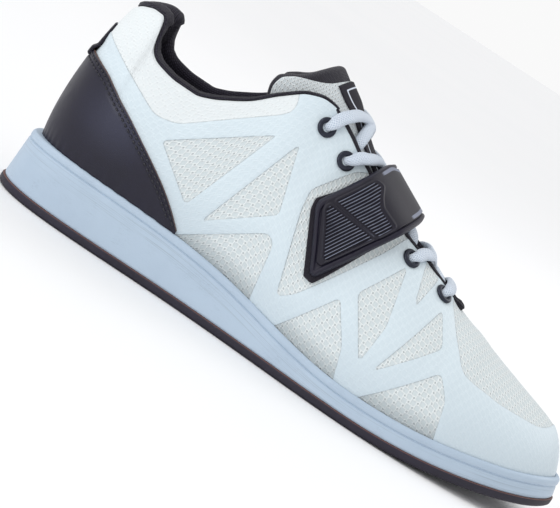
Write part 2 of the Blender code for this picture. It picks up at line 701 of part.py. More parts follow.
def make_strap_overlay(finish):
    """The moulded plate on the strap's free end."""
    paths = np.array([0.08, 0.18, 0.3, 0.4, 0.48, 0.55, 0.63, 0.7, 0.76, 0.82])
    outer = strap_grid(paths, 3.0, STRAP_THICK + GAP + 0.8, 5)
    inner = strap_grid(paths, 3.0, STRAP_THICK + GAP, 5)
    return add_slab("strap_overlay", outer, inner, finish)


def make_strap_base(finish):
    """The soft hook-and-loop patch on the upper, under the strap's free end."""
    outer = []
    inner = []
    for t, rear, front in zip(PATCH["t"], PATCH["rear"], PATCH["front"]):
        turn = turn_of(np.linspace(rear, front, 6))
        outer.append(upper_skin(turn, t, GAP + 0.8))
        inner.append(upper_skin(turn, t, GAP))
    return add_slab("strap_base", np.array(outer), np.array(inner), finish)


def make_tongue_label(finish):
    """A plain patch sewn along the middle of the tongue."""
    grid = tongue_grid(33)
    normal = grid_normals(grid)
    if normal[3, 16, 2] < 0.0:
        normal = -normal
    rows = slice(6, 11)
    cols = slice(12, 21)
    outer = (grid + normal * (GAP + 0.9))[rows, cols]
    inner = (grid + normal * GAP)[rows, cols]
    return add_slab("tongue_label", outer, inner, finish)


def sweep(points, width, thick, upward, segments=8):
    """A flat oval tube along points, its wide side square to upward; returns points and faces."""
    points = np.asarray(points, dtype=float)
    ahead = unit(np.gradient(points, axis=0))
    side = unit(np.cross(ahead, upward))
    rise = np.cross(side, ahead)
    angle = np.linspace(0.0, 2.0 * np.pi, segments, endpoint=False)
    rings = (points[:, None, :] + side[:, None, :] * np.cos(angle)[None, :, None] * width / 2.0
             + rise[:, None, :] * np.sin(angle)[None, :, None] * thick / 2.0)
    count = len(points)
    faces = []
    for i in range(count - 1):
        for j in range(segments):
            k = (j + 1) % segments
            faces.append([i * segments + j, i * segments + k, (i + 1) * segments + k, (i + 1) * segments + j])
    faces.append(list(range(segments)))
    faces.append(list(range((count - 1) * segments, count * segments)))
    return rings.reshape(-1, 3), faces


def lace_route(first, second, side, lift):
    """A lace from beside one eyelet, over the edge and across the tongue, to inside the other edge."""
    x_a = EYELETS["x"][first]
    x_b = EYELETS["x"][second]
    step = x_b - x_a
    turn_a, t_a = eyelet_turn_t(x_a + 0.12 * step, 3.6, side)
    turn_e = turn_of(x_a + 0.25 * step)
    turn_e = turn_e if side < 0 else 2.0 * np.pi - turn_e
    start = upper_skin(turn_a, t_a, 2.1)
    over = upper_skin(turn_e, 1.0, 2.8)
    places = [(0.42, 0.8), (0.55, 1.0), (0.7, 1.22), (0.82, 1.4)]
    control = [start, over]
    for share, q in places:
        control.append(tongue_above(x_a + share * step, q if side < 0 else 2.0 - q, lift))
    control = np.array(control)
    share = np.linspace(0.0, 1.0, 8)
    knots = [0.0, 0.2, 0.45, 0.62, 0.82, 1.0]
    return np.stack([steady_curve(knots, control[:, axis])(share) for axis in range(3)], axis=-1)


def throat_up(x):
    """The direction square to the tongue's middle line at a section."""
    ahead = tongue_section(x + 3.0, 1.0) - tongue_section(x - 3.0, 1.0)
    return np.array([-ahead[2], 0.0, ahead[0]]) / np.hypot(ahead[0], ahead[2])


def make_lace_crossing(number, finish):
    """Two laces that cross over the tongue, joined where they meet."""
    middle = (EYELETS["x"][number - 1] + EYELETS["x"][number]) / 2.0
    lift = LACE_THICK / 2.0 + (2.1 if number == 1 else 0.8)
    parts = []
    for side in (-1, 1):
        route = lace_route(number - 1, number, side, lift)
        points, faces = sweep(route, LACE_WIDTH, LACE_THICK, throat_up(middle))
        parts.append(add_object("lace_crossing_%d" % number, points, faces, finish))
    whole, cutter = parts
    union = whole.modifiers.new("join", "BOOLEAN")
    union.operation = "UNION"
    union.object = cutter
    cutter.name = "lace_joined_%d" % number
    cutter.hide_render = True
    cutter.display_type = "WIRE"
    return whole


def make_lace_bar(finish):
    """The straight bar of lace across the last pair of eyelets."""
    x = EYELETS["x"][-1]
    sides = []
    for side in (-1, 1):
        turn, t = eyelet_turn_t(x, 3.6, side)
        sides.append([upper_skin(turn, t, 2.0), upper_skin(turn, 1.0, 2.3)])
    middle = (sides[0][1] + sides[1][1]) / 2.0
    middle[2] += 0.5
    control = np.array([sides[0][0], sides[0][1], middle, sides[1][1], sides[1][0]])
    share = np.linspace(0.0, 1.0, 9)
    route = np.stack([steady_curve([0, 0.3, 0.5, 0.7, 1.0], control[:, axis])(share)
                      for axis in range(3)], axis=-1)
    points, faces = sweep(route, LACE_WIDTH, LACE_THICK, throat_up(x))
    return add_object("lace_bar", points, faces, finish)


def cut_grooves(outsole):
    """Shallow grooves across the bottom of the outsole, short of its edge."""
    points = []
    faces = []
    for x in GROOVES:
        turn = turn_of(x)
        lateral = outline(turn, 9.0)[1]
        medial = outline(2.0 * np.pi - turn, 9.0)[1]
        low = ground(x) - 3.0
        high = ground(x) + GROOVE_DEPTH
        first = len(points)
        for z in (low, high):
            for y, lean in ((lateral, -GROOVE_LEAN), ((lateral + medial) / 2.0, GROOVE_LEAN),
                            (medial, -GROOVE_LEAN)):
                points += [(x + lean - GROOVE_WIDTH / 2.0, y, z), (x + lean + GROOVE_WIDTH / 2.0, y, z)]
        for k in (0, 2):
            a, b = first + k, first + 6 + k
            faces += [[a, a + 1, a + 3, a + 2], [b, b + 2, b + 3, b + 1],
                      [a, a + 2, b + 2, b], [a + 1, b + 1, b + 3, a + 3]]
        faces += [[first, first + 6, first + 7, first + 1], [first + 4, first + 5, first + 11, first + 10]]
    cutter = add_object("groove_cutter", points, faces, outsole.data.materials[0])
    cutter.hide_render = True
    cutter.display_type = "WIRE"
    cut = outsole.modifiers.new("grooves", "BOOLEAN")
    cut.operation = "DIFFERENCE"
    cut.object = cutter


def move_to_origin():
    """Hang every piece on one empty, so that the bottom centre of the shoe's box is the origin."""
    turn = np.linspace(0.0, 2.0 * np.pi, 721)
    y = outline(turn)[1]
    shoe = bpy.data.objects.new("shoe", None)
    bpy.context.scene.collection.objects.link(shoe)
    shoe.location = (-LENGTH / 2.0 * MM, -(y.max() + y.min()) / 2.0 * MM, 0.0)
    for piece in bpy.data.objects:
        if piece is not shoe:
            piece.parent = shoe


def build():
    """Make every piece and set the origin under the middle of the shoe."""
    for old in list(bpy.data.objects):
        bpy.data.objects.remove(old, do_unlink=True)
    film = material("film", (0.72, 0.79, 0.84), 0.5)
    foam = material("foam", (0.47, 0.58, 0.72), 0.55)
    rubber = material("rubber", (0.03, 0.025, 0.04), 0.6)
    smooth_black = material("smooth_black", (0.03, 0.03, 0.035), 0.4)
    black_cloth = material("black_cloth", (0.03, 0.03, 0.04), 0.85)
    mesh_white = material("mesh_white", (0.7, 0.73, 0.72), 0.85)
    lace_cloth = material("lace_cloth", (0.65, 0.72, 0.85), 0.8)
    dark_metal = material("dark_metal", (0.1, 0.1, 0.12), 0.35, 1.0)
    cut_grooves(make_outsole(rubber))
    make_midsole(foam)
    make_insole(black_cloth)
    make_upper(film)
    make_heel_counter(smooth_black)
    make_heel_tab(black_cloth)
    make_collar_lining(black_cloth)
    make_tongue(mesh_white)
    make_tongue_label(black_cloth)
    make_strap_base(black_cloth)
    make_strap(smooth_black)
    make_strap_overlay(smooth_black)
    for number, (x, setback) in enumerate(zip(EYELETS["x"], EYELETS["setback"]), 1):
        for side, word in ((-1, "lateral"), (1, "medial")):
            turn, t = eyelet_turn_t(x, setback, side)
            make_eyelet("eyelet_%s_%d" % (word, number), turn, t, dark_metal)
    for number in (1, 2, 3, 4):
        make_lace_crossing(number, lace_cloth)
    make_lace_bar(lace_cloth)
    move_to_origin()


build()
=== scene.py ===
"""The looks of a right weightlifting shoe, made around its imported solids.

Lengths are millimetres in the shoe's own frame: x runs from the heel (0) to the toe, y is positive on
the medial side, z is the height over the ground. place() turns them into metres in the shared frame.

An angle called turn goes round the foot: 0 is the back of the heel, pi the tip of the toe, the lateral
side comes first and the medial side second. Each angle has one section of the upper, a cubic curve from
the feather line (t = 0) up to the collar, the throat or the crown of the toe (t = 1).
"""

import bmesh
import bpy
import numpy as np
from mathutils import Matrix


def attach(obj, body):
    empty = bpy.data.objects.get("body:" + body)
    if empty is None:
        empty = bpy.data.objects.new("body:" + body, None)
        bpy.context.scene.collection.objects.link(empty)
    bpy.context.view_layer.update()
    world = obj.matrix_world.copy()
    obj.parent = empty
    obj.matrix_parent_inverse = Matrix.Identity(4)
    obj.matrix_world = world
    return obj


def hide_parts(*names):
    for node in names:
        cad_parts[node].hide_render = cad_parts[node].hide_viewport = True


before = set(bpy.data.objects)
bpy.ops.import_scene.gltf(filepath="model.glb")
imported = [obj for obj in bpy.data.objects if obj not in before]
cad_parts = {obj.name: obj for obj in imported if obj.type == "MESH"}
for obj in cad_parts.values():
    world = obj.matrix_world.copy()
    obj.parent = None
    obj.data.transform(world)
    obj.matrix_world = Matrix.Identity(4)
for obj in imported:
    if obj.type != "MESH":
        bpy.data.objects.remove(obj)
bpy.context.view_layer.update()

MM = 0.001
LENGTH = 300.0

# Sole: rubber sheet, toe spring, recess in the foam that takes the upper, sock liner.
OUTSOLE_THICK = 4.3
SPRING_START = 192.0
SPRING_RADIUS = 460.0
RECESS = 4.5
INSOLE_THICK = 4.0

# Upper: wall, gap to what lies on it, reach below the sole's rim, film over the mesh.
WALL = 2.0
GAP = 0.3
FEATHER_DEPTH = 4.0
FILM_THICK = 0.35
FILM_EDGE = 0.5

# Heel counter: its shell, the grooves pressed in by its seams, and the thread.
COUNTER_THICK = 1.25
SEAM_SETBACKS = (1.7, 3.9)
SEAM_ENDS = (84.0, 80.5)
SEAM_SPREAD = 0.55
SEAM_DEPTH = 0.3
SEAM_LIFT = 1.2
STITCH = 1.9
STITCH_GAP = 0.9
STITCH_WIDTH = 1.0
STITCH_THICK = 0.8

# Heel tab: where its sides lie along the foot, its foot and top, its lap over the counter.
TAB_SIDE = 2.2
TAB_FOOT = 72.0
TAB_TOP = 91.0
TAB_THICK = 1.1
TAB_LAP = 1.5

# Tape on the throat's edge, from the collar's end to the throat's end.
TAPE_START = 116.5
TAPE_END = 221.0

# Patch on the tongue.
LABEL_HALF = 11.5
LABEL_THICK = 0.9
LABEL_LINE = 3.4

# Strap: band, raised border, moulded plate and its ribs, and the patch under its free end.
STRAP_THICK = 2.2
BORDER_RISE = 0.8
PLATE_THICK = 0.7
PLATE_INSET = 3.0
RIB_PITCH = 1.45
RIB_DEPTH = 0.75
PATCH_THICK = 0.9

# Eyelets and laces.
EYELET_RADIUS = 4.75
EYELET_HOLE = 2.2
RING_HEIGHT = 0.55
RING_ROLL = 0.95
LACE_WIDTH = 6.2
LACE_THICK = 3.0
LACE_PINCH = 4.1


def columns(names, rows):
    """A short table as one named array for each column."""
    return dict(zip(names.split(), np.array(rows, dtype=float).T))


# The outsole's plan outline: how far it reaches to each side at a distance from the heel.
OUTLINE = columns("x lateral medial", [
    (0, 0, 0), (2, -11.5, 11.5), (5, -17.5, 17.5), (10, -23.5, 23), (20, -30, 29.5), (35, -34.2, 33.6),
    (55, -35.6, 34.8), (80, -35.6, 33.4), (105, -36.6, 31.6), (130, -39.6, 32), (155, -44, 35.5),
    (175, -47.4, 40.5), (195, -49.4, 45), (215, -49.2, 47.4), (235, -46.4, 47.6), (252, -41.4, 45),
    (267, -34.8, 40.6), (279, -27.6, 35.2), (288, -20, 28.4), (295, -11, 20), (300, 4.5, 4.5)])

# The upper's section: inset of its feather line from the outline, height of the sole's rim, and how far
# the two middle control points lie outwards and, as a share of the section's height, up or down.
SECTION = columns("x inset rim out_low rise_low out_high fall_high", [
    (0, 9.2, 28.9, 6.5, 0.23, 6.3, 0.24),
    (10, 7.8, 29.2, 5.5, 0.24, 6.0, 0.24),
    (25, 6.0, 29.3, 4.5, 0.26, 5.0, 0.25),
    (45, 5.2, 29.2, 4.0, 0.29, 4.0, 0.27),
    (85, 5.0, 27.8, 4.4, 0.30, 6.0, 0.27),
    (120, 5.0, 24.0, 5.8, 0.32, 12.5, 0.235),
    (145, 4.8, 19.3, 7.0, 0.32, 12.5, 0.18),
    (175, 4.7, 14.9, 8.2, 0.37, 15.0, 0.11),
    (200, 4.7, 14.2, 8.0, 0.40, 18.0, 0.06),
    (230, 4.6, 15.8, 7.0, 0.42, 22.0, 0.0),
    (255, 4.5, 18.9, 5.2, 0.40, 18.0, 0.0),
    (275, 4.4, 21.9, 3.5, 0.43, 13.0, 0.0),
    (288, 4.3, 24.5, 1.5, 0.40, 10.0, 0.0),
    (300, 4.3, 26.2, -1.0, 0.39, 6.0, 0.0)])

# The upper's top edge: the collar, then the throat, then the closed crown of the toe where half is 0.
EDGE = columns("x along half height", [
    (0, 12.1, 0, 102.4), (5, 14.2, 8.5, 104.2), (10, 17.5, 14, 105.9), (20, 23.1, 19.5, 107.5),
    (26, 26.6, 22, 107.5), (28.5, 28.7, 23, 105.8), (30, 29.7, 23.6, 102.4), (32, 31.2, 24.6, 95.2),
    (34, 33.0, 25.4, 91.2), (37, 36.0, 26.3, 88.9), (42, 41.0, 27.1, 87.3), (50, 49.0, 27.9, 86.0),
    (60, 59.0, 28.2, 85.9), (67, 66.0, 28.2, 88.0), (75, 74.0, 28, 92.2), (83, 82.1, 27.4, 97.3),
    (93, 92.0, 26.2, 106.3), (104, 102.8, 24.6, 114.0), (112, 110.4, 22.8, 116.0),
    (117, 115.3, 21.3, 115.5), (122, 119.9, 20.2, 113.6), (130, 128.2, 19.6, 109.3),
    (139, 137.0, 18.6, 103.6), (158, 155.5, 16.2, 93.6), (177, 174.3, 12.4, 84.0),
    (192, 189.1, 8.6, 78.8), (202, 198.9, 6.4, 74.9), (208, 204.6, 5, 72.5),
    (214, 209.8, 3.2, 70.0), (219, 213.4, 1.5, 68.4),
    (222, 215.5, 0, 67.5), (235, 226.5, 0, 63.7), (250, 239.8, 0, 59.2), (262, 250.4, 0, 55.7),
    (272, 259.0, 0, 53.0), (280, 265.6, 0, 51.0), (286, 270.6, 0, 49.5), (293, 276.2, 0, 47.7),
    (297.5, 279.5, 0, 46.4), (300, 280.9, 0, 45.8)])

# The heel counter's upper edge.
COUNTER = columns("x top", [
    (0, 75.5), (5, 75), (10, 74), (20, 71.5), (31, 66.5), (41, 61.3), (51, 55.5), (61, 49.5),
    (71, 43), (81, 34.8), (86, 29.9)])

# The padded collar: how thick it is, how far its roll stands over the edge and how deep it reaches.
LINING = columns("x thick roll depth", [
    (0, 9, 6.5, 32), (10, 9, 5.6, 31), (20, 8.5, 4.2, 29), (28, 8, 3.2, 26), (33, 6.5, 3, 20),
    (42, 5, 2.8, 18), (60, 4, 2.5, 18), (80, 2.6, 2.2, 16), (100, 1.6, 1.9, 14), (119, 1.2, 1.6, 12)])

# The tongue in the throat: the top of its middle at a section of the upper.
TONGUE = columns("x along height tuck", [
    (217, 212, 64.6, 2.8), (208, 204, 69.4, 2.8), (193, 190, 76.6, 2.8), (178, 175, 84, 2.8),
    (160, 158, 94.2, 2.8), (145, 143, 104, 2.8), (132, 130, 114.5, 3.4), (124, 123, 121.5, 4.6)])

# The tongue's free upper edge, from the hem inside the collar, round the wing and up to the middle.
WING = columns("share along half height", [
    (0, 88, 18.5, 94), (0.14, 86.5, 19.8, 101), (0.27, 84.8, 21, 108), (0.4, 86, 21.4, 113),
    (0.52, 90.5, 20.4, 116.8), (0.66, 96.5, 17.6, 121), (0.8, 101.5, 12.6, 126.6),
    (0.91, 105.2, 6, 131), (1, 106.8, 0, 132.6)])

# The strap across the foot: path is -1 at the medial rim, 0 at the crown and 1 near the lateral rim.
STRAP = columns("path rear front", [
    (-0.98, 145, 174), (-0.5, 149, 176.5), (0, 152.5, 179.3), (0.15, 150, 178.4), (0.4, 141.5, 173.6),
    (0.55, 135.6, 167.3), (0.63, 134.6, 164.6), (0.75, 142.3, 159), (0.86, 149.4, 153)])

# Eyelets: section and distance from the upper's edge.
EYELETS = columns("x setback", [(119.5, 9.8), (135.1, 9.6), (159.7, 9.4), (185.1, 9.4), (206.5, 9.2)])

# Windows of open mesh in the film, seen square from the side: corners (x, z) and the corners' radius.
WINDOWS = (
    (4.0, ((-20, 96), (11, 86), (49, 68.2), (60, 70.4), (98.5, 100.8), (101.5, 105.5), (97, 116),
           (60, 140), (-20, 140))),
    (2.4, ((58.3, 60.6), (100.6, 91.2), (93.6, 71.5), (82.8, 42.0))),
    (2.2, ((111.4, 93.6), (121, 61.8), (93.0, 40.0))),
    (2.6, ((84, 26.2), (121.8, 52.6), (126.2, 49.6), (132.6, 10), (84, 10))),
    (2.6, ((126.8, 79.4), (128, 70), (139.9, 30.9), (146.6, 36.4), (170.5, 73.4), (178, 87), (160, 106),
           (139, 96))),
    (2.4, ((170.0, 52.6), (182.7, 73.2), (189, 47), (187.2, 27.4))),
    (1.6, ((188.6, 79.8), (195.0, 59.6), (198.4, 74.6))),
    (2.2, ((206.9, 64.8), (216.2, 51.4), (194.0, 27.4))),
    (2.4, ((142.6, 13), (164.6, 46.6), (177.2, 29), (184, 8), (142.6, 8))),
    (2.6, ((191.6, 10), (221.3, 42.6), (229.6, 33.6), (236, 10))),
    (4.0, ((208.2, 70.4), (229.4, 47.0), (252, 43.4), (276, 42.6), (283.4, 46.8), (262, 72),
           (212, 86))))


def turn_of(x):
    """The lateral side's angle at a distance from the heel: x = LENGTH (1 - cos turn) / 2."""
    return np.arccos(np.clip(1.0 - 2.0 * np.asarray(x, dtype=float) / LENGTH, -1.0, 1.0))


def x_of(turn):
    """Distance from the heel of an angle's place on the outline."""
    return LENGTH * (1.0 - np.cos(turn)) / 2.0


def loop_spline(angles, values):
    """Periodic cubic spline with continuous curvature through values at angles in [0, 2 pi)."""
    count = len(angles)
    step = np.diff(np.append(angles, angles[0] + 2.0 * np.pi))
    rate = (np.roll(values, -1) - values) / step
    before = np.roll(step, 1)
    index = np.arange(count)
    system = np.zeros((count, count))
    np.add.at(system, (index, index - 1), step)
    np.add.at(system, (index, index), 2.0 * (before + step))
    np.add.at(system, (index, (index + 1) % count), before)
    slope = np.linalg.solve(system, 3.0 * (step * np.roll(rate, 1) + before * rate))
    knots = np.append(angles, angles[0] + 2.0 * np.pi)
    return hermite(knots, np.append(values, values[0]), np.append(slope, slope[0]), 2.0 * np.pi)


def hermite(knots, values, slopes, period=None):
    """Cubic pieces through values with given slopes, as a function that takes arrays."""
    def at(q):
        q = np.asarray(q, dtype=float)
        if period is not None:
            q = np.mod(q - knots[0], period) + knots[0]
        i = np.clip(np.searchsorted(knots, q, side="right") - 1, 0, len(knots) - 2)
        h = knots[i + 1] - knots[i]
        u = (q - knots[i]) / h
        bend = u * u * (3.0 - 2.0 * u)
        lean = h * u * (1.0 - u)
        return (values[i] * (1.0 - bend) + values[i + 1] * bend
                + lean * ((1.0 - u) * slopes[i] - u * slopes[i + 1]))
    return at


def steady_slopes(h, rate):
    """Slopes of cubics that never overshoot: the harmonic mean of the neighbours, or 0 at a peak."""
    same = rate[..., :-1] * rate[..., 1:] > 0.0
    heavy = 2.0 * h[1:] + h[:-1]
    light = h[1:] + 2.0 * h[:-1]
    first = np.where(same, rate[..., :-1], 1.0)
    second = np.where(same, rate[..., 1:], 1.0)
    inner = np.where(same, (heavy + light) / (heavy / first + light / second), 0.0)
    return np.concatenate([rate[..., :1], inner, rate[..., -1:]], axis=-1)


def steady_curve(knots, values):
    """A curve through values that never overshoots, as a function."""
    knots = np.asarray(knots, dtype=float)
    values = np.asarray(values, dtype=float)
    h = np.diff(knots)
    return hermite(knots, values, steady_slopes(h, np.diff(values) / h))


def steady_points(knots, points, q):
    """The same curve through points (..., knot, axis), one set of points for each place q."""
    knots = np.asarray(knots, dtype=float)
    values = np.moveaxis(points, -1, 0)
    h = np.diff(knots)
    slopes = steady_slopes(h, np.diff(values, axis=-1) / h)
    q = np.asarray(q, dtype=float)
    i = np.clip(np.searchsorted(knots, q, side="right") - 1, 0, len(knots) - 2)
    width = h[i]
    u = (q - knots[i]) / width
    bend = u * u * (3.0 - 2.0 * u)
    lean = width * u * (1.0 - u)
    at = i[None, ..., None]

    def pick(array, index):
        index = np.broadcast_to(index, (*np.broadcast_shapes(array.shape[:-1], index.shape[:-1]), 1))
        array = np.broadcast_to(array, (*index.shape[:-1], array.shape[-1]))
        return np.take_along_axis(array, index, axis=-1)[..., 0]

    made = (pick(values, at) * (1.0 - bend) + pick(values, at + 1) * bend
            + lean * ((1.0 - u) * pick(slopes, at) - u * pick(slopes, at + 1)))
    return np.moveaxis(made, 0, -1)


def both_sides(table, name):
    """A column that is the same on both sides, as a smooth periodic function of the angle."""
    side = turn_of(table["x"])
    values = table[name]
    angles = np.concatenate([side, 2.0 * np.pi - side[-2:0:-1]])
    return loop_spline(angles, np.concatenate([values, values[-2:0:-1]]))


def edge_column(name, mirror):
    """A column of the top edge against the angle, carried past heel and toe as mirror times itself."""
    side = turn_of(EDGE["x"])
    values = EDGE[name]
    knots = np.concatenate([-side[2:0:-1], side, 2.0 * np.pi - side[-2:-4:-1]])
    column = steady_curve(knots, np.concatenate([mirror * values[2:0:-1], values, values[-2:-4:-1]]))
    return lambda turn: column(np.where(turn > np.pi, 2.0 * np.pi - turn, turn))


SIDE_ANGLES = turn_of(OUTLINE["x"])
OUTLINE_Y = loop_spline(np.concatenate([SIDE_ANGLES, 2.0 * np.pi - SIDE_ANGLES[-2:0:-1]]),
                        np.concatenate([OUTLINE["lateral"], OUTLINE["medial"][-2:0:-1]]))
SHAPE = {name: both_sides(SECTION, name) for name in SECTION if name != "x"}
EDGE_ALONG = edge_column("along", 1.0)
EDGE_HALF = edge_column("half", -1.0)
EDGE_HEIGHT = edge_column("height", 1.0)


def wrap(turn):
    """An angle brought into [0, 2 pi)."""
    return np.mod(np.asarray(turn, dtype=float), 2.0 * np.pi)


def smoothstep(q, low, high):
    """0 below low, 1 above high, and 3u^2 - 2u^3 between."""
    u = np.clip((q - low) / (high - low), 0.0, 1.0)
    return u * u * (3.0 - 2.0 * u)


def unit(vectors):
    """Vectors scaled to length one."""
    return vectors / np.maximum(np.linalg.norm(vectors, axis=-1, keepdims=True), 1e-12)


def ground(x):
    """Height of the outsole's bottom: flat, then an arc of SPRING_RADIUS up to the toe."""
    return np.maximum(x - SPRING_START, 0.0) ** 2 / (2.0 * SPRING_RADIUS)


def centre_line(x):
    """The foot's middle, which turns to the medial side towards the toe."""
    return 4.5 * smoothstep(x, 120.0, 285.0)


def outline(turn, inset=0.0):
    """The sole's plan outline moved inwards along its normal, as x, y and the normal."""
    turn = wrap(turn)
    eps = 1e-4
    x = x_of(turn)
    y = OUTLINE_Y(turn)
    dx = LENGTH * np.sin(turn) / 2.0
    dy = (OUTLINE_Y(turn + eps) - OUTLINE_Y(turn - eps)) / (2.0 * eps)
    size = np.hypot(dx, dy)
    normal_x = dy / size
    normal_y = -dx / size
    return x - normal_x * inset, y - normal_y * inset, normal_x, normal_y


def edge_point(turn):
    """A point of the upper's top edge: collar, throat or crown."""
    turn = wrap(turn)
    along = EDGE_ALONG(turn)
    side = np.where(turn > np.pi, 1.0, -1.0)
    return np.stack([along, centre_line(along) + side * EDGE_HALF(turn), EDGE_HEIGHT(turn)], axis=-1)


def upper_controls(turn):
    """The four control points of the upper's section at an angle."""
    turn = wrap(turn)
    rim = SHAPE["rim"](turn)
    x, y, nx, ny = outline(turn, SHAPE["inset"](turn))
    low = np.stack([x, y, rim - FEATHER_DEPTH], axis=-1)
    top = edge_point(turn)
    height = top[..., 2] - low[..., 2]
    eps = 1e-3
    ahead = edge_point(np.minimum(np.where(turn > np.pi, 2.0 * np.pi - turn, turn) + eps, np.pi))
    behind = edge_point(np.where(turn > np.pi, 2.0 * np.pi - turn, turn) - 2.0 * eps)
    slope = (ahead[..., 2] - behind[..., 2]) / np.maximum(ahead[..., 0] - behind[..., 0], 1e-6)
    closed = smoothstep(top[..., 0], 200.0, 217.0)
    out_low = SHAPE["out_low"](turn)
    out_high = SHAPE["out_high"](turn)
    lift_low = SHAPE["rise_low"](turn) * height
    drop = SHAPE["fall_high"](turn) * height - closed * slope * nx * out_high
    second = low + np.stack([nx * out_low, ny * out_low, lift_low], axis=-1)
    third = top + np.stack([nx * out_high, ny * out_high, -drop], axis=-1)
    return low, second, third, top


def upper_point(turn, t):
    """The upper's outer surface: the cubic curve of the angle's section at t."""
    turn, t = np.broadcast_arrays(np.asarray(turn, dtype=float), np.asarray(t, dtype=float))
    a, b, c, d = upper_controls(turn)
    t = t[..., None]
    s = 1.0 - t
    return s ** 3 * a + 3.0 * s * s * t * b + 3.0 * s * t * t * c + t ** 3 * d


def upper_normal(turn, t):
    """The outward normal of the upper's surface, by differences."""
    eps = 1e-4
    t = np.minimum(t, 0.985)
    along = upper_point(turn + eps, t) - upper_point(turn - eps, t)
    across = upper_point(turn, t + eps) - upper_point(turn, t - eps)
    return unit(np.cross(along, across))


def upper_skin(turn, t, lift):
    """A point at a distance from the upper's outer surface, outwards when lift is positive."""
    turn, t, lift = np.broadcast_arrays(*(np.asarray(q, dtype=float) for q in (turn, t, lift)))
    normal = upper_normal(turn, t)
    mirrored = upper_normal(2.0 * np.pi - turn, t)
    joined = (t > 0.999) & (EDGE_HALF(wrap(turn)) < 1e-6)
    normal = np.where(joined[..., None], unit(normal + mirrored), normal)
    return upper_point(turn, t) + normal * lift[..., None]


def t_at_height(turn, height):
    """The t at which a section reaches a height."""
    samples = np.linspace(0.0, 1.0, 61)
    turn = np.atleast_1d(turn)
    height = np.broadcast_to(height, turn.shape)
    z = upper_point(turn[:, None], samples[None, :])[..., 2]
    return np.array([np.interp(h, row, samples) for h, row in zip(height, z)])


def collar_point(turn, inward, along):
    """A point inside the upper's edge: inward from its outer face, and along its wall past the edge."""
    turn, inward, along = np.broadcast_arrays(turn, inward, along)
    eps = 2e-3
    height = 1.05 * (edge_point(turn)[..., 2] - SHAPE["rim"](wrap(turn)) + FEATHER_DEPTH)
    t = np.minimum(1.0 + along / height, 1.0)
    run = edge_point(turn + eps) - edge_point(turn - eps)
    past = unit(np.cross(upper_normal(turn, 1.0), run))
    return upper_skin(turn, t, -inward) + past * np.maximum(along, 0.0)[..., None]


OUTLINE_RANGE = outline(np.linspace(0.0, 2.0 * np.pi, 721))[1]
ORIGIN = np.array([LENGTH / 2.0, (OUTLINE_RANGE.max() + OUTLINE_RANGE.min()) / 2.0, 0.0])


def place(points):
    """Shoe millimetres to metres in the shared frame."""
    return (np.asarray(points, dtype=float) - ORIGIN) * MM


def quadratic(u, start, corner, end):
    """The curve (1 - u)^2 start + 2u(1 - u) corner + u^2 end, which cuts a corner off."""
    return (1.0 - u) ** 2 * start + 2.0 * u * (1.0 - u) * corner + u * u * end


def round_corners(corners, radius):
    """A polygon with each corner replaced by a quadratic curve that starts radius before it."""
    corners = np.array(corners, dtype=float)
    before = unit(np.roll(corners, 1, axis=0) - corners)
    after = unit(np.roll(corners, -1, axis=0) - corners)
    u = np.linspace(0.0, 1.0, 5)[None, :, None]
    start = (corners + before * radius)[:, None, :]
    end = (corners + after * radius)[:, None, :]
    return quadratic(u, start, corners[:, None, :], end).reshape(-1, 2)


def polygon_distance(x, z, corners):
    """Signed distance to a polygon, negative inside, and its gradient, for arrays of places."""
    x, z = np.broadcast_arrays(x, z)
    best = np.full(x.shape, 1e9)
    away_x = np.zeros(x.shape)
    away_z = np.zeros(x.shape)
    inside = np.zeros(x.shape, dtype=bool)
    for (ax, az), (bx, bz) in zip(corners, np.roll(corners, -1, axis=0)):
        ex, ez = bx - ax, bz - az
        share = np.clip(((x - ax) * ex + (z - az) * ez) / (ex * ex + ez * ez), 0.0, 1.0)
        off_x = x - ax - share * ex
        off_z = z - az - share * ez
        away = np.hypot(off_x, off_z)
        nearer = away < best
        best = np.where(nearer, away, best)
        away_x = np.where(nearer, off_x, away_x)
        away_z = np.where(nearer, off_z, away_z)
        if ez != 0.0:
            crosses = ((az > z) != (bz > z)) & (x < ax + (z - az) * ex / ez)
            inside ^= crosses
    safe = np.maximum(best, 1e-6)
    return np.where(inside, -best, best), away_x / safe, away_z / safe


def panel_distance(points, normals, windows):
    """Distance on the surface from the nearest of some mesh windows, negative inside one.

    The distance is measured in the side view, then divided by the steepest slope that it has on the
    surface, so that it stays true on the crown, which the side view sees nearly edge on.
    """
    x, z = points[..., 0], points[..., 2]
    best = np.full(x.shape, 99.0)
    for radius, corners in windows:
        flat, gx, gz = polygon_distance(x, z, round_corners(corners, radius))
        lean = gx * normals[..., 0] + gz * normals[..., 2]
        true = flat / np.sqrt(np.maximum(1.0 - lean * lean, 0.08))
        best = np.minimum(best, true)
    return best


def grid_quads(rows, cols, first=0, close_rows=False):
    """Quads of a grid whose rows are closed loops; close_rows joins the last row to the first."""
    i = np.arange(rows if close_rows else rows - 1)[:, None]
    j = np.arange(cols)[None, :]
    k = (i + 1) % rows
    m = (j + 1) % cols
    corners = (i * cols + j, k * cols + j, k * cols + m, i * cols + m)
    return np.stack(np.broadcast_arrays(*corners), axis=-1).reshape(-1, 4) + first


def spread(count, rim):
    """Even shares from 0 to 1, with extra ones within rim of both ends, to round an edge there."""
    near = rim * np.array([0.06, 0.2, 0.42, 0.7, 1.0])
    return np.unique(np.concatenate([np.linspace(0.0, 1.0, count), near, 1.0 - near]))


def dome(distance, radius):
    """Height share of a rounded rim: a quarter circle from 0 at its edge to 1 at radius and beyond."""
    return np.sqrt(np.clip(1.0 - (1.0 - np.clip(distance / radius, 0.0, 1.0)) ** 2, 0.0, 1.0))


def grid_normals(grid):
    """Unit normals of a grid of points: the cross product of its two directions."""
    return unit(np.cross(np.gradient(grid, axis=0), np.gradient(grid, axis=1)))


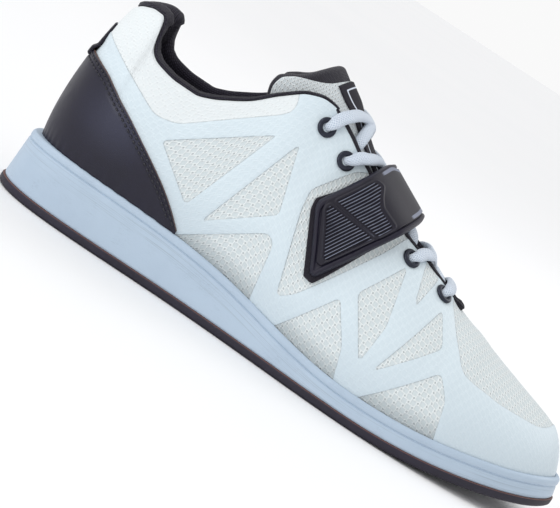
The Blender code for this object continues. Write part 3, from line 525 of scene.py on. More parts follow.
def upward(normals):
    """A grid's normals, all turned over if they point down on average."""
    return normals * np.where(normals[..., 2].mean() < 0.0, -1.0, 1.0)


def run_lengths(points, axis):
    """Length along a grid's lines up to each point."""
    step = np.linalg.norm(np.diff(points, axis=axis), axis=-1)
    start = np.zeros_like(np.take(step, [0], axis=axis))
    return np.concatenate([start, np.cumsum(step, axis=axis)], axis=axis)


def edge_distance(grid):
    """Distance of a grid's points from its nearest side, measured along the grid's lines."""
    down = run_lengths(grid, 0)
    across = run_lengths(grid, 1)
    return np.minimum(np.minimum(across, across[:, -1:] - across), np.minimum(down, down[-1:] - down))


def flat_cloth(x, y):
    """Places on a flat cloth in millimetres, with 0 as the third number."""
    x, y = np.broadcast_arrays(x, y)
    return np.stack([x, y, np.zeros(x.shape)], axis=-1)


def add_piece(name, points, faces, finish, nodes, fields=None, weld=False):
    """A mesh piece from points in millimetres, facing outwards, riding on the shoe in its nodes' place.

    fields are values kept on the points for the materials: one number or three for each point.
    """
    points = np.asarray(points, dtype=float).reshape(-1, 3)
    mesh = bpy.data.meshes.new(name)
    mesh.from_pydata(place(points).tolist(), [], [list(face) for face in faces])
    for key, values in (fields or {}).items():
        values = np.ascontiguousarray(values, dtype=np.float32)
        flat = values.size == len(points)
        layer = mesh.attributes.new(key, "FLOAT" if flat else "FLOAT_VECTOR", "POINT")
        layer.data.foreach_set("value" if flat else "vector", values.ravel())
    work = bmesh.new()
    work.from_mesh(mesh)
    if weld:
        bmesh.ops.remove_doubles(work, verts=work.verts, dist=2e-6)
    bmesh.ops.recalc_face_normals(work, faces=work.faces)
    work.to_mesh(mesh)
    work.free()
    mesh.shade_smooth()
    mesh.set_sharp_from_angle(angle=np.radians(38.0))
    mesh.materials.append(finish)
    piece = bpy.data.objects.new(name, mesh)
    bpy.context.scene.collection.objects.link(piece)
    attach(piece, "root")
    if nodes:
        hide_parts(*nodes)
    return piece


def solid_faces(rows, cols):
    """Faces of a solid whose rows are closed loops: its skin, and strips across both end rows."""
    faces = grid_quads(rows, cols).tolist()
    for first in (0, (rows - 1) * cols):
        faces += [[first + j, first + j + 1, first + cols - 2 - j, first + cols - 1 - j]
                  for j in range(cols // 2 - 1)]
    return faces


def add_slab(name, outer, inner, finish, nodes, fields):
    """A solid between two grids of the same size; fields are given on the outer grid."""
    rows, cols = outer.shape[:2]
    points = np.concatenate([outer, inner[:, ::-1]], axis=1)
    both = {key: np.concatenate([values, values[:, ::-1]], axis=1) for key, values in fields.items()}
    add_piece(name, points, solid_faces(rows, 2 * cols), finish, nodes, both)


def add_stack(name, rings, finish, nodes, fields):
    """A solid of rings round the foot (ring, angle, axis), capped across the foot below and above."""
    levels, count = rings.shape[:2]
    faces = grid_quads(levels, count).tolist()
    half = count // 2
    for first in (0, (levels - 1) * count):
        faces.append([first, first + 1, first + count - 1])
        faces += [[first + i, first + i + 1, first + count - i - 1, first + count - i]
                  for i in range(1, half - 1)]
        faces.append([first + half - 1, first + half, first + half + 1])
    add_piece(name, rings, faces, finish, nodes, fields, weld=True)


def soften(rings, radius):
    """Rings with their profile's corners rounded: each inner ring becomes a short quadratic curve."""
    middle = rings[1:-1]
    before = rings[:-2] - middle
    after = rings[2:] - middle
    reach_b = np.minimum(radius, 0.45 * np.linalg.norm(before, axis=-1, keepdims=True))
    reach_a = np.minimum(radius, 0.45 * np.linalg.norm(after, axis=-1, keepdims=True))
    start = middle + unit(before) * reach_b
    end = middle + unit(after) * reach_a
    u = np.linspace(0.0, 1.0, 4)[:, None, None]
    curves = [quadratic(u, *corner) for corner in zip(start, middle, end)]
    return np.concatenate([rings[:1], *curves, rings[-1:]])


def tube(points, forward, width, thick, segments=20, squareness=0.8):
    """A flat oval tube along points: its wide side lies along forward, square to the path.

    Its section is the curve (cos a ^ e, sin a ^ e) with signs kept, which is an oval for e = 1 and
    flatter for less. Returns its rings and, for each ring, the length along the path.
    """
    ahead = unit(np.gradient(points, axis=0))
    side = unit(forward - np.sum(forward * ahead, axis=-1, keepdims=True) * ahead)
    rise = np.cross(side, ahead)
    angle = np.linspace(0.0, 2.0 * np.pi, segments, endpoint=False)
    wide = np.sign(np.cos(angle)) * np.abs(np.cos(angle)) ** squareness
    high = np.sign(np.sin(angle)) * np.abs(np.sin(angle)) ** squareness
    width = np.broadcast_to(width, len(points))[:, None, None] / 2.0
    thick = np.broadcast_to(thick, len(points))[:, None, None] / 2.0
    rings = (points[:, None, :] + side[:, None, :] * wide[None, :, None] * width
             + rise[:, None, :] * high[None, :, None] * thick)
    return rings, run_lengths(points, 0)


class Nodes:
    """Short ways to add shader nodes to a tree: a value can be a number, a colour or another socket."""

    def __init__(self, tree):
        self.tree = tree

    def link(self, socket, value):
        """Join a socket to another one, or set its value."""
        if isinstance(value, bpy.types.NodeSocket):
            self.tree.links.new(value, socket)
        else:
            socket.default_value = value

    def add(self, kind, inputs=None, **settings):
        """A shader node with its inputs and settings."""
        node = self.tree.nodes.new("ShaderNode" + kind)
        for key, value in settings.items():
            setattr(node, key, value)
        for key, value in (inputs or {}).items():
            self.link(node.inputs[key], value)
        return node

    def math(self, operation, *values):
        """A Math node's result."""
        return self.add("Math", dict(enumerate(values)), operation=operation).outputs[0]

    def plus(self, first, second):
        """The sum of two values."""
        return self.math("ADD", first, second)

    def times(self, first, second):
        """The product of two values."""
        return self.math("MULTIPLY", first, second)

    def less(self, first, second):
        """The first value less the second."""
        return self.math("SUBTRACT", first, second)

    def vector(self, operation, *values):
        """A Vector Math node's vector, or its length."""
        node = self.add("VectorMath", dict(enumerate(values)), operation=operation)
        return node.outputs[1 if operation == "LENGTH" else 0]

    def step(self, value, low, high, to_low=0.0, to_high=1.0):
        """A smooth step from to_low, at and below low, to to_high, at and above high."""
        node = self.add("MapRange", {0: value, 1: low, 2: high, 3: to_low, 4: to_high},
                        interpolation_type="SMOOTHSTEP")
        return node.outputs[0]

    def blend(self, share, first, second):
        """The first colour turning into the second by a share."""
        return self.add("Mix", {0: share, 6: first, 7: second}, data_type="RGBA").outputs[2]

    def split(self, vector):
        """A vector's three numbers."""
        return self.add("SeparateXYZ", {0: vector}).outputs

    def join(self, x, y, z=0.0):
        """A vector made of three numbers."""
        return self.add("CombineXYZ", {0: x, 1: y, 2: z}).outputs[0]

    def field(self, name, output="Fac"):
        """A value kept on the mesh's points."""
        return self.add("Attribute", attribute_name=name).outputs[output]

    def noise(self, vector, scale, detail=3.0, rough=0.5):
        """Soft noise around one half."""
        inputs = {"Vector": vector, "Scale": scale, "Detail": detail, "Roughness": rough}
        return self.add("TexNoise", inputs).outputs[0]

    def scaled(self, vector, factor):
        """A vector times a number."""
        node = self.add("VectorMath", {0: vector, "Scale": factor}, operation="SCALE")
        return node.outputs[0]


def paint(code, alpha=1.0):
    """A screen colour such as 'DCE6EC' as linear light."""
    value = np.array([int(code[i:i + 2], 16) for i in (0, 2, 4)]) / 255.0
    linear = np.where(value <= 0.04045, value / 12.92, ((value + 0.055) / 1.055) ** 2.4)
    return (*(float(v) for v in linear), alpha)


def new_group(name, inputs, outputs):
    """An empty shader group with named sockets; each is (name, kind, default)."""
    tree = bpy.data.node_groups.new(name, "ShaderNodeTree")
    for sockets, way in ((inputs, "INPUT"), (outputs, "OUTPUT")):
        for title, kind, default in sockets:
            socket = tree.interface.new_socket(name=title, in_out=way, socket_type="NodeSocket" + kind)
            if default is not None:
                socket.default_value = default
    source = tree.nodes.new("NodeGroupInput")
    target = tree.nodes.new("NodeGroupOutput")
    return tree, Nodes(tree), source.outputs, target.inputs


def basket_mesh_group():
    """Open mesh: square knots two units wide on the lattice (2, -1), (1, 2), a pin hole between four.

    Coordinate is in millimetres, Unit is half a knot. Knot and Hole are masks, Height is in mm. The
    place in lattice steps is i = (2x - y) / 5 and j = (x + 2y) / 5: whole numbers are the middles of
    knots, and halves are the holes.
    """
    tree, net, given, made = new_group(
        "basket_mesh", [("Coordinate", "Vector", None), ("Unit", "Float", 1.4)],
        [("Knot", "Float", None), ("Hole", "Float", None), ("Height", "Float", None)])
    scaled = net.scaled(given["Coordinate"], net.math("DIVIDE", 1.0, given["Unit"]))
    x, y, _ = net.split(scaled)
    i = net.math("DIVIDE", net.less(net.times(x, 2.0), y), 5.0)
    j = net.math("DIVIDE", net.plus(x, net.times(y, 2.0)), 5.0)
    whole_i = net.math("ROUND", i)
    whole_j = net.math("ROUND", j)
    near_x = net.plus(net.times(whole_i, 2.0), whole_j)
    near_y = net.less(net.times(whole_j, 2.0), whole_i)
    off_x = net.math("ABSOLUTE", net.less(x, near_x))
    off_y = net.math("ABSOLUTE", net.less(y, near_y))
    reach = net.math("SMOOTH_MAX", off_x, off_y, 0.35)
    knot = net.step(reach, 0.62, 1.0, 1.0, 0.0)
    gap_i = net.less(net.math("FRACT", i), 0.5)
    gap_j = net.less(net.math("FRACT", j), 0.5)
    square = net.plus(net.times(gap_i, gap_i), net.times(gap_j, gap_j))
    hole = net.step(net.math("SQRT", square), 0.07, 0.19, 1.0, 0.0)
    thread = net.times(net.less(1.0, knot), 0.22)
    net.link(made["Knot"], knot)
    net.link(made["Hole"], hole)
    net.link(made["Height"], net.less(thread, net.times(hole, 0.3)))
    return tree


def knit_group():
    """Fine rib knit: loops |sin x| |sin y|, each row shifted by half a loop. Height is in mm."""
    tree, net, given, made = new_group(
        "knit", [("Coordinate", "Vector", None), ("Loop", "Float", 1.3)],
        [("Height", "Float", None), ("Shade", "Float", None)])
    x, y, _ = net.split(given["Coordinate"])
    row = net.math("DIVIDE", y, net.times(given["Loop"], 0.8))
    shift = net.times(net.math("PINGPONG", net.math("FLOOR", row), 1.0), 0.5)
    column = net.plus(net.math("DIVIDE", x, given["Loop"]), shift)
    across = net.math("ABSOLUTE", net.math("SINE", net.times(column, np.pi)))
    up = net.math("ABSOLUTE", net.math("SINE", net.times(row, np.pi)))
    loop = net.times(across, up)
    net.link(made["Height"], net.times(loop, 0.3))
    net.link(made["Shade"], loop)
    return tree


def grain_group():
    """Fine leather or moulded grain: cells of Size millimetres with softer noise. Height is in mm."""
    tree, net, given, made = new_group(
        "grain", [("Coordinate", "Vector", None), ("Size", "Float", 0.6), ("Depth", "Float", 0.03)],
        [("Height", "Float", None), ("Shade", "Float", None)])
    scaled = net.scaled(given["Coordinate"], net.math("DIVIDE", 1.0, given["Size"]))
    cells = net.add("TexVoronoi", {"Vector": scaled, "Scale": 1.0}).outputs["Distance"]
    soft = net.noise(scaled, 0.5)
    height = net.times(net.plus(cells, soft), given["Depth"])
    net.link(made["Height"], height)
    net.link(made["Shade"], net.noise(scaled, 0.06, 4.0, 0.6))
    return tree


def wear_group():
    """Use and handling: broad cloudy tone, and thin broken scuffs drawn out along x. Both are masks."""
    tree, net, given, made = new_group(
        "wear", [("Coordinate", "Vector", None), ("Amount", "Float", 1.0)],
        [("Cloud", "Float", None), ("Scuff", "Float", None)])
    cloud = net.step(net.noise(given["Coordinate"], 0.035, 4.0, 0.55), 0.35, 0.75)
    stretched = net.vector("MULTIPLY", given["Coordinate"], (0.05, 0.3, 0.6))
    streak = net.noise(stretched, 1.0, 6.0, 0.7)
    thin = net.math("ABSOLUTE", net.less(streak, 0.5))
    broken = net.step(net.noise(given["Coordinate"], 0.09), 0.52, 0.66)
    scuff = net.times(net.step(thin, 0.0, 0.012, 1.0, 0.0), broken)
    net.link(made["Cloud"], net.times(cloud, given["Amount"]))
    net.link(made["Scuff"], net.times(scuff, given["Amount"]))
    return tree


BASKET_MESH = basket_mesh_group()
KNIT = knit_group()
GRAIN = grain_group()
WEAR = wear_group()


def new_material(name, roughness, **constants):
    """A Principled material with its constants set, its node tree, its shader and the place in mm."""
    made = bpy.data.materials.new(name)
    made.use_nodes = True
    shader = made.node_tree.nodes["Principled BSDF"]
    shader.inputs["Roughness"].default_value = roughness
    for key, value in constants.items():
        shader.inputs[key.replace("_", " ")].default_value = value
    net = Nodes(made.node_tree)
    millimetres = net.scaled(net.add("TexCoord").outputs["Object"], 1.0 / MM)
    return made, net, shader, millimetres


def use_group(net, tree, **inputs):
    """A group node placed in a material with its own values; returns its outputs."""
    node = net.add("Group")
    node.node_tree = tree
    for key, value in inputs.items():
        net.link(node.inputs[key], value)
    return node.outputs


def finish_material(net, shader, colour, height=None, roughness=None):
    """Join a colour, a height in millimetres and a roughness to the shader."""
    net.link(shader.inputs["Base Color"], colour)
    if roughness is not None:
        net.link(shader.inputs["Roughness"], roughness)
    if height is not None:
        bump = net.add("Bump", {"Height": height, "Strength": 1.0, "Distance": MM})
        net.link(shader.inputs["Normal"], bump.outputs[0])


def film_material():
    """Satin film over open mesh, which shows in the windows.

    Fields: panel is the distance from a window, negative inside one; calm marks the padded panel at
    the collar; low is the height over the sole's rim, where mesh and film are painted darker as painted
    shade; lining marks the inside.
    """
    made, net, shader, spot = new_material("film_over_mesh", 0.5, Sheen_Weight=0.15)
    cloth = net.field("cloth", "Vector")
    panel = net.field("panel")
    cells = use_group(net, BASKET_MESH, Coordinate=cloth)
    film = net.step(panel, -0.12, 0.12)
    fine = net.noise(cloth, 1.6, 2.0)
    worn = use_group(net, WEAR, Coordinate=spot)
    mesh = net.blend(cells["Knot"], paint("E2E8E9"), paint("CBD4D7"))
    mesh = net.blend(net.times(cells["Hole"], 0.5), mesh, paint("7F8A90"))
    mesh = net.blend(net.times(net.field("calm"), 0.8), mesh, paint("E2E7E9"))
    # painted shade: the open mesh darkens within about 12 mm over the sole's rim
    mesh = net.blend(net.step(net.field("low"), 0.5, 12.0, 0.5, 0.0), mesh, paint("838D92"))
    skin = net.blend(net.times(cells["Knot"], 0.22), paint("D3E0E7"), paint("BCCBD4"))
    skin = net.blend(net.times(worn["Cloud"], 0.15), skin, paint("C6D2DB"))
    # painted shade: the film darkens towards the sole's rim, over its lowest 34 mm
    skin = net.blend(net.step(net.field("low"), 0.0, 34.0, 0.4, 0.0), skin, paint("B4C2CC"))
    colour = net.blend(film, mesh, skin)
    line = net.step(net.math("ABSOLUTE", net.plus(panel, 0.18)), 0.05, 0.3, 0.3, 0.0)
    colour = net.blend(line, colour, paint("9AA5AB"))
    colour = net.blend(net.step(net.field("lining"), 0.3, 0.7), colour, paint("24222D"))
    smoothed = net.times(net.field("calm"), 0.6)
    cover = net.math("MAXIMUM", net.times(film, 0.72), smoothed)
    weave = net.times(cells["Height"], net.less(1.0, cover))
    height = net.plus(weave, net.times(film, 0.3))
    height = net.plus(height, net.times(fine, 0.03))
    finish_material(net, shader, colour, height, net.step(film, 0.0, 1.0, 0.85, 0.46))
    return made


def foam_material():
    """Moulded pale blue grey foam with a faint cloud of handling and a few thin scuffs.

    The field drop is the distance below the rim, and dark streaks run along a band of it.
    """
    made, net, shader, spot = new_material("moulded_foam", 0.48)
    worn = use_group(net, WEAR, Coordinate=spot)
    fine = use_group(net, GRAIN, Coordinate=spot, Size=0.5, Depth=0.02)
    colour = net.blend(net.times(worn["Cloud"], 0.5), paint("B0C1D2"), paint("A4B5C7"))
    drop = net.field("drop")
    drawn_out = net.vector("MULTIPLY", net.join(net.split(spot)[0], drop), (0.02, 2.2, 1.0))
    streak = net.noise(drawn_out, 1.0, 4.0)
    band = net.times(net.step(drop, 4.4, 5.2), net.step(drop, 9.0, 12.0, 1.0, 0.0))
    streak = net.times(net.step(streak, 0.52, 0.66), band)
    colour = net.blend(net.times(streak, 0.5), colour, paint("8E9CA8"))
    colour = net.blend(net.times(worn["Scuff"], 0.4), colour, paint("7A8796"))
    finish_material(net, shader, colour, fine["Height"], net.step(worn["Cloud"], 0.0, 1.0, 0.45, 0.58))
    return made


def rubber_material():
    """Black rubber with a thin brown line where it meets the foam; the field rise is its height."""
    made, net, shader, spot = new_material("black_rubber", 0.62)
    fine = use_group(net, GRAIN, Coordinate=spot, Size=0.7, Depth=0.04)
    worn = use_group(net, WEAR, Coordinate=spot)
    line = net.step(net.field("rise"), OUTSOLE_THICK - 0.4, OUTSOLE_THICK - 0.2)
    colour = net.blend(net.times(worn["Cloud"], 0.6), paint("191424"), paint("262033"))
    colour = net.blend(net.times(line, 0.6), colour, paint("7A5348"))
    finish_material(net, shader, colour, fine["Height"])
    return made


def leather_material():
    """Smooth coated black leather with a painted highlight in the middle; the field rim is the distance
    from its edge.
    """
    made, net, shader, spot = new_material("coated_leather", 0.42, Specular_IOR_Level=0.4)
    fine = use_group(net, GRAIN, Coordinate=spot, Size=0.55, Depth=0.035)
    rim = net.field("rim")
    raw = net.step(rim, 0.1, 0.55, 1.0, 0.0)
    colour = net.blend(fine["Shade"], paint("100E1E"), paint("17152A"))
    # painted highlight: a broad paler patch round the counter's middle, on both sides of the heel
    from_painted_highlight = net.vector("SUBTRACT", spot, (-112.0, 0.0, 57.0))
    away = net.vector("LENGTH", net.vector("MULTIPLY", from_painted_highlight, (0.045, 0.0, 0.06)))
    colour = net.blend(net.step(away, 0.0, 1.3, 0.8, 0.0), colour, paint("2E3045"))
    colour = net.blend(net.times(raw, 0.75), colour, paint("6A5248"))
    rough = net.step(fine["Shade"], 0.2, 0.8, 0.36, 0.5)
    finish_material(net, shader, colour, fine["Height"], rough)
    return made


def knit_material(name, dark, light, loop=1.3):
    """Knitted cloth that follows the field cloth, with a soft cloudy change of tone."""
    made, net, shader, spot = new_material(name, 0.88, Sheen_Weight=0.1, Sheen_Roughness=0.5,
                                           Specular_IOR_Level=0.3)
    knit = use_group(net, KNIT, Coordinate=net.field("cloth", "Vector"), Loop=loop)
    cloud = net.noise(spot, 0.08)
    colour = net.blend(knit["Shade"], paint(dark), paint(light))
    colour = net.blend(net.times(cloud, 0.3), colour, paint(dark))
    finish_material(net, shader, colour, knit["Height"])
    return made


def tongue_material():
    """White padded mesh; the field black is above zero on the bound edge and the rolled top."""
    made, net, shader, _ = new_material("tongue_mesh", 0.85, Sheen_Weight=0.15)
    cloth = net.field("cloth", "Vector")
    cells = use_group(net, BASKET_MESH, Coordinate=cloth, Unit=0.95)
    knit = use_group(net, KNIT, Coordinate=cloth, Loop=0.9)
    white = net.blend(cells["Knot"], paint("E8EDEF"), paint("CED6DA"))
    white = net.blend(net.times(cells["Hole"], 0.8), white, paint("8C9496"))
    black = net.blend(knit["Shade"], paint("110E1A"), paint("2A2736"))
    share = net.step(net.field("black"), -0.1, 0.1)
    heights = {0: share, 2: cells["Height"], 3: knit["Height"]}
    height = net.add("Mix", heights, data_type="FLOAT").outputs[0]
    finish_material(net, shader, net.blend(share, white, black), height)
    return made


def lace_material():
    """Braided oval lace: two crossing families of thread on the field cloth (along, around)."""
    made, net, shader, _ = new_material("braided_lace", 0.8, Sheen_Weight=0.3)
    along, around, _ = net.split(net.field("cloth", "Vector"))
    radians_per_mm = 5.2
    rising = net.math("SINE", net.times(net.plus(along, around), radians_per_mm))
    falling = net.math("SINE", net.times(net.less(along, around), radians_per_mm))
    braid = net.math("MAXIMUM", rising, falling)
    colour = net.blend(net.step(braid, -0.2, 1.0), paint("B4C3D6"), paint("DCE5F0"))
    finish_material(net, shader, colour, net.times(braid, 0.12))
    return made


def moulded_material(name, dark, light, roughness):
    """Smooth moulded black band with fine grain; a field on its points marks where highlights are
    painted on, as lighter glints and bands.
    """
    made, net, shader, spot = new_material(name, roughness, Specular_IOR_Level=0.35)
    fine = use_group(net, GRAIN, Coordinate=spot, Size=0.45, Depth=0.025)
    colour = net.blend(fine["Shade"], paint(dark), paint(light))
    # painted highlight: lighter colour where the field is high
    band = net.step(net.field("painted_highlight"), 0.3, 0.7)
    colour = net.blend(band, colour, paint("7A8092"))
    finish_material(net, shader, colour, fine["Height"])
    return made


def hook_material():
    """Fuzzy black hook-and-loop cloth."""
    made, net, shader, spot = new_material("hook_cloth", 0.95, Sheen_Weight=0.1, Specular_IOR_Level=0.2)
    fuzz = net.noise(spot, 1.4, 4.0, 0.7)
    colour = net.blend(fuzz, paint("17151B"), paint("35323B"))
    finish_material(net, shader, colour, net.times(fuzz, 0.5))
    return made


def metal_material():
    """Dark painted metal, worn a little brighter in places."""
    made, net, shader, spot = new_material("painted_ring", 0.32, Metallic=0.6)
    tone = net.noise(spot, 0.5)
    colour = net.blend(tone, paint("1B1D27"), paint("383C4A"))
    finish_material(net, shader, colour, net.times(tone, 0.02))
    return made


def label_material():
    """Close black weave with one thin pale line inside its edge, by the field border."""
    made, net, shader, _ = new_material("label_weave", 0.8)
    x, y, _ = net.split(net.field("cloth", "Vector"))
    weave = net.times(net.math("SINE", net.times(x, 9.0)),
                     net.math("SINE", net.times(y, 9.0)))
    from_line = net.math("ABSOLUTE", net.less(net.field("border"), LABEL_LINE))
    line = net.step(from_line, 0.25, 0.45, 1.0, 0.0)
    colour = net.blend(net.step(weave, -1.0, 1.0), paint("100D18"), paint("221F2C"))
    colour = net.blend(line, colour, paint("D3DAE6"))
    finish_material(net, shader, colour, net.times(weave, 0.05))
    return made


def thread_material():
    """Black sewing thread with a slight change of tone and a fine bump."""
    made, net, shader, spot = new_material("black_thread", 0.34)
    tone = net.noise(spot, 0.6, 4.0)
    colour = net.blend(tone, paint("09080E"), paint("262532"))
    finish_material(net, shader, colour, net.times(tone, 0.06))
    return made


FILM = film_material()
FOAM = foam_material()
RUBBER = rubber_material()
LEATHER = leather_material()
LINING_KNIT = knit_material("lining_knit", "100D19", "353141")
BINDING_KNIT = knit_material("binding_knit", "110E1A", "2A2736", 0.8)
TONGUE_MESH = tongue_material()
BRAID = lace_material()
STRAP_BLACK = moulded_material("strap_black", "131020", "1D1A2C", 0.46)
PANEL_BLACK = moulded_material("panel_black", "0F0C1A", "171424", 0.46)
HOOK = hook_material()
RING_METAL = metal_material()
LABEL = label_material()
THREAD = thread_material()
SOCK = knit_material("sock_liner_cloth", "2A2832", "3E3C48", 1.6)


def soft_form(points):
    """Padding and soft creases of the upper in the side view: how far its skin stands out, in mm.

    The collar's panel swells by a smooth step in height and length, a dent runs round the heel over the
    counter, and three slanting bell curves crease the toe where it flexes.
    """
    x, z = points[..., 0], points[..., 2]
    collar_pad = 0.9 * smoothstep(z, 74.0, 92.0) * (1.0 - smoothstep(x, 62.0, 100.0))
    heel_dent = -0.5 * np.exp(-((z - 80.0) / 4.0) ** 2) * (1.0 - smoothstep(x, 26.0, 60.0))
    flex = 0.0
    for middle, lean, depth in ((214.0, 0.35, -0.35), (226.0, 0.25, 0.25), (238.0, 0.3, -0.3)):
        flex = flex + depth * np.exp(-((x - middle - lean * (z - 45.0)) / 4.5) ** 2)
    flex = flex * smoothstep(z, 26.0, 40.0)
    return collar_pad + heel_dent + flex


def make_upper():
    """The hollow upper: film frame over mesh outside, lining inside, one wall thick.

    The outer skin is the section curve moved along its normal: in by FILM_THICK inside a window, with a
    smooth step on its outline, and out by the soft form. The inner skin lies WALL inside the curve.
    """
    turn = np.linspace(0.0, 2.0 * np.pi, 640, endpoint=False)[:, None]
    t = np.linspace(0.0, 1.0, 66)[None, :]
    base = upper_skin(turn, t, 0.0)
    normal = upper_skin(turn, t, 1.0) - base
    panel = panel_distance(base, normal, WINDOWS)
    fade = 1.0 - smoothstep(t, 0.97, 1.0)
    rise = FILM_THICK * (smoothstep(panel, -FILM_EDGE, FILM_EDGE) - 1.0) + soft_form(base) * fade
    outer = base + normal * rise[..., None]
    inner = upper_skin(turn, np.linspace(1.0, 0.0, 18)[None, :], -WALL)
    around = run_lengths(np.concatenate([base, base[:1]]), 0)[:-1]
    anchor = int(np.argmin(np.abs(turn[:, 0] - turn_of(150.0))))
    mirror = len(turn) - anchor
    lateral = turn <= np.pi
    along = np.where(lateral, around - around[anchor], around[mirror] - around)
    up = run_lengths(base, 1)
    cloth = flat_cloth(along, up - up[:, -1:])
    points = np.concatenate([outer, inner], axis=1)
    rows, cols = points.shape[:2]
    quads = grid_quads(rows, cols, 0, True)
    is_open = EDGE_HALF(turn[:, 0]) > 1e-6
    rim_col = outer.shape[1] - 1
    row_of = quads[:, 0] // cols
    on_rim = (quads[:, 0] % cols) == rim_col
    closed = ~is_open[row_of] & ~is_open[(row_of + 1) % rows]
    quads = quads[~(on_rim & closed)]
    calm = 1.0 - smoothstep(panel_distance(base, normal, WINDOWS[:1]), -0.2, 0.2)
    low = base[..., 2] - SHAPE["rim"](turn)
    fields = {"cloth": np.concatenate([cloth, np.zeros_like(inner)], axis=1)}
    for key, outside, inside in (("panel", panel, 3.0), ("calm", calm, 0.0), ("low", low, 50.0),
                                 ("lining", np.zeros(outer.shape[:2]), 1.0)):
        fields[key] = np.concatenate([outside, np.full(inner.shape[:2], inside)], axis=1)
    add_piece("film_upper", points, quads.tolist(), FILM, ["upper"], fields, weld=True)


def ring_turns(count=720):
    """Even angles round the foot."""
    return np.linspace(0.0, 2.0 * np.pi, count, endpoint=False)


def sole_ring(turn, inset, height):
    """A ring of the sole at an inset from the outline; height is a function of x."""
    x, y, _, _ = outline(turn, inset)
    return np.stack([x, y, np.broadcast_to(height(x), x.shape)], axis=-1)


def rubber_rings(turn, rows):
    """Rings at (inset from the outline, level over the ground line, rise over that level)."""
    return [sole_ring(turn, inset, lambda x: ground(x) + level + rise) for inset, level, rise in rows]


# Rings of the sole from below: the rubber and the foam's foot as (inset, level, rise), and the foam's
# groove and lip as (inset, height over the rim).
OUTSOLE_RINGS = ((1.4, 0.0, 0.0), (0.0, 0.0, 0.9), (0.0, OUTSOLE_THICK, -0.4),
                 (0.5, OUTSOLE_THICK, 0.0), (3.0, OUTSOLE_THICK, 0.0))
MIDSOLE_FOOT = ((1.3, OUTSOLE_THICK, 0.1), (0.9, OUTSOLE_THICK, 0.8))
MIDSOLE_LIP = ((1.9, -4.4), (2.7, -3.9), (1.9, -3.3), (2.0, -1.0), (3.0, 0.1))


def make_midsole():
    """Wedge with a plain wall, a groove, a lip and a ledge, and a recess that takes the upper."""
    turn = ring_turns()
    rim = SHAPE["rim"](turn)
    ledge = upper_skin(turn, t_at_height(turn, rim), 0.2)
    ledge[:, 2] = rim + 0.25
    floor = upper_skin(turn, 0.0, GAP)
    floor[:, 2] = rim - RECESS
    wall = rubber_rings(turn, MIDSOLE_FOOT)
    wall += [sole_ring(turn, inset, lambda x: rim + rise) for inset, rise in MIDSOLE_LIP]
    rings = soften(np.array([*wall, ledge, floor]), 0.6)
    drop = rim - rings[..., 2]
    add_stack("foam_midsole", rings, FOAM, ["midsole"], {"drop": drop})


def make_outsole():
    """Rubber sheet with a rounded lower edge that follows the toe spring."""
    rings = soften(np.array(rubber_rings(ring_turns(), OUTSOLE_RINGS)), 0.7)
    rise = rings[..., 2] - ground(rings[..., 0])
    add_stack("rubber_outsole", rings, RUBBER, ["outsole"], {"rise": rise})


def make_insole():
    """Sock liner inside the upper, with a soft rim."""
    turn = ring_turns(360)
    floor = SHAPE["rim"](turn) - RECESS
    low = upper_skin(turn, 0.0, -(WALL + 1.0))
    low[:, 2] = floor + GAP
    high = upper_skin(turn, t_at_height(turn, floor + INSOLE_THICK), -(WALL + 0.6))
    high[:, 2] = floor + GAP + INSOLE_THICK
    middle = high.mean(axis=0)
    near = high + (middle - high) * 0.06
    near[:, 2] = high[:, 2] - 0.6
    rings = soften(np.array([low, high, near]), 0.8)
    cloth = flat_cloth(rings[..., 0], rings[..., 1])
    add_stack("sock_liner", rings, SOCK, ["insole"], {"cloth": cloth})


def around_heel(limit, count):
    """Angles from the medial side round the heel to the lateral side, both at the same distance."""
    reach = float(turn_of(limit))
    return np.linspace(-reach, reach, count)


def counter_top(turn):
    """Height of the counter's upper edge at an angle, by its table."""
    return steady_curve(COUNTER["x"], COUNTER["top"])(x_of(turn))


def make_counter():
    """Moulded leather shell round the heel, which stands on the ledge and falls away towards the arch.

    Its thickness is a quarter-round dome along its edges, less a bell-shaped groove for each seam, with
    small pleats where it turns in at the sole.
    """
    turn = around_heel(COUNTER["x"][-1], 300)
    t_low = t_at_height(turn, SHAPE["rim"](wrap(turn)) + 0.35)
    t_high = t_at_height(turn, counter_top(turn))
    share = spread(40, 0.05)[None, :]
    t = t_low[:, None] + (t_high - t_low)[:, None] * share
    base = upper_skin(turn[:, None], t, 0.0)
    from_top = run_lengths(base[:, ::-1], 1)[:, ::-1]
    from_low = run_lengths(base, 1)
    seams = sum(np.exp(-((from_top - setback) / SEAM_SPREAD) ** 2) for setback in SEAM_SETBACKS)
    pleats = 0.25 * np.sin(turn[:, None] * 95.0) * np.exp(-from_low / 2.4)
    rounded = dome(np.minimum(from_top, from_low + 0.3), 0.7)
    lift = GAP + COUNTER_THICK * rounded - SEAM_DEPTH * seams + pleats
    outer = upper_skin(turn[:, None], t, lift)
    inner = upper_skin(turn[:, None], t, GAP)
    add_slab("leather_counter", outer, inner, LEATHER, ["heel_counter"],
             {"rim": from_top})


def stitch_row(turn, t, lift):
    """Single stitches along a line on the upper: spindles of thread that dip in at their ends."""
    line = upper_skin(turn, t, lift)
    length = run_lengths(line, 0)
    pitch = STITCH + STITCH_GAP
    starts = np.arange(0.4, length[-1] - STITCH, pitch)
    rings = []
    shares = np.array([0.0, 0.08, 0.3, 0.7, 0.92, 1.0])
    swell = np.array([0.12, 0.7, 1.0, 1.0, 0.7, 0.12])
    sink = np.array([-0.5, -0.12, 0.1, 0.1, -0.12, -0.5])
    normal = unit(upper_skin(turn, t, lift + 1.0) - line)

    def along(q, values):
        return np.stack([np.interp(q, length, values[:, axis]) for axis in range(3)], axis=-1)

    for start in starts:
        q = start + shares * STITCH
        points = along(q, line) + along(q, normal) * sink[:, None]
        side = unit(np.cross(along(q, normal), np.gradient(points, axis=0)))
        rings.append(tube(points, side, STITCH_WIDTH * swell, STITCH_THICK * swell, 6, 1.0)[0])
    return rings


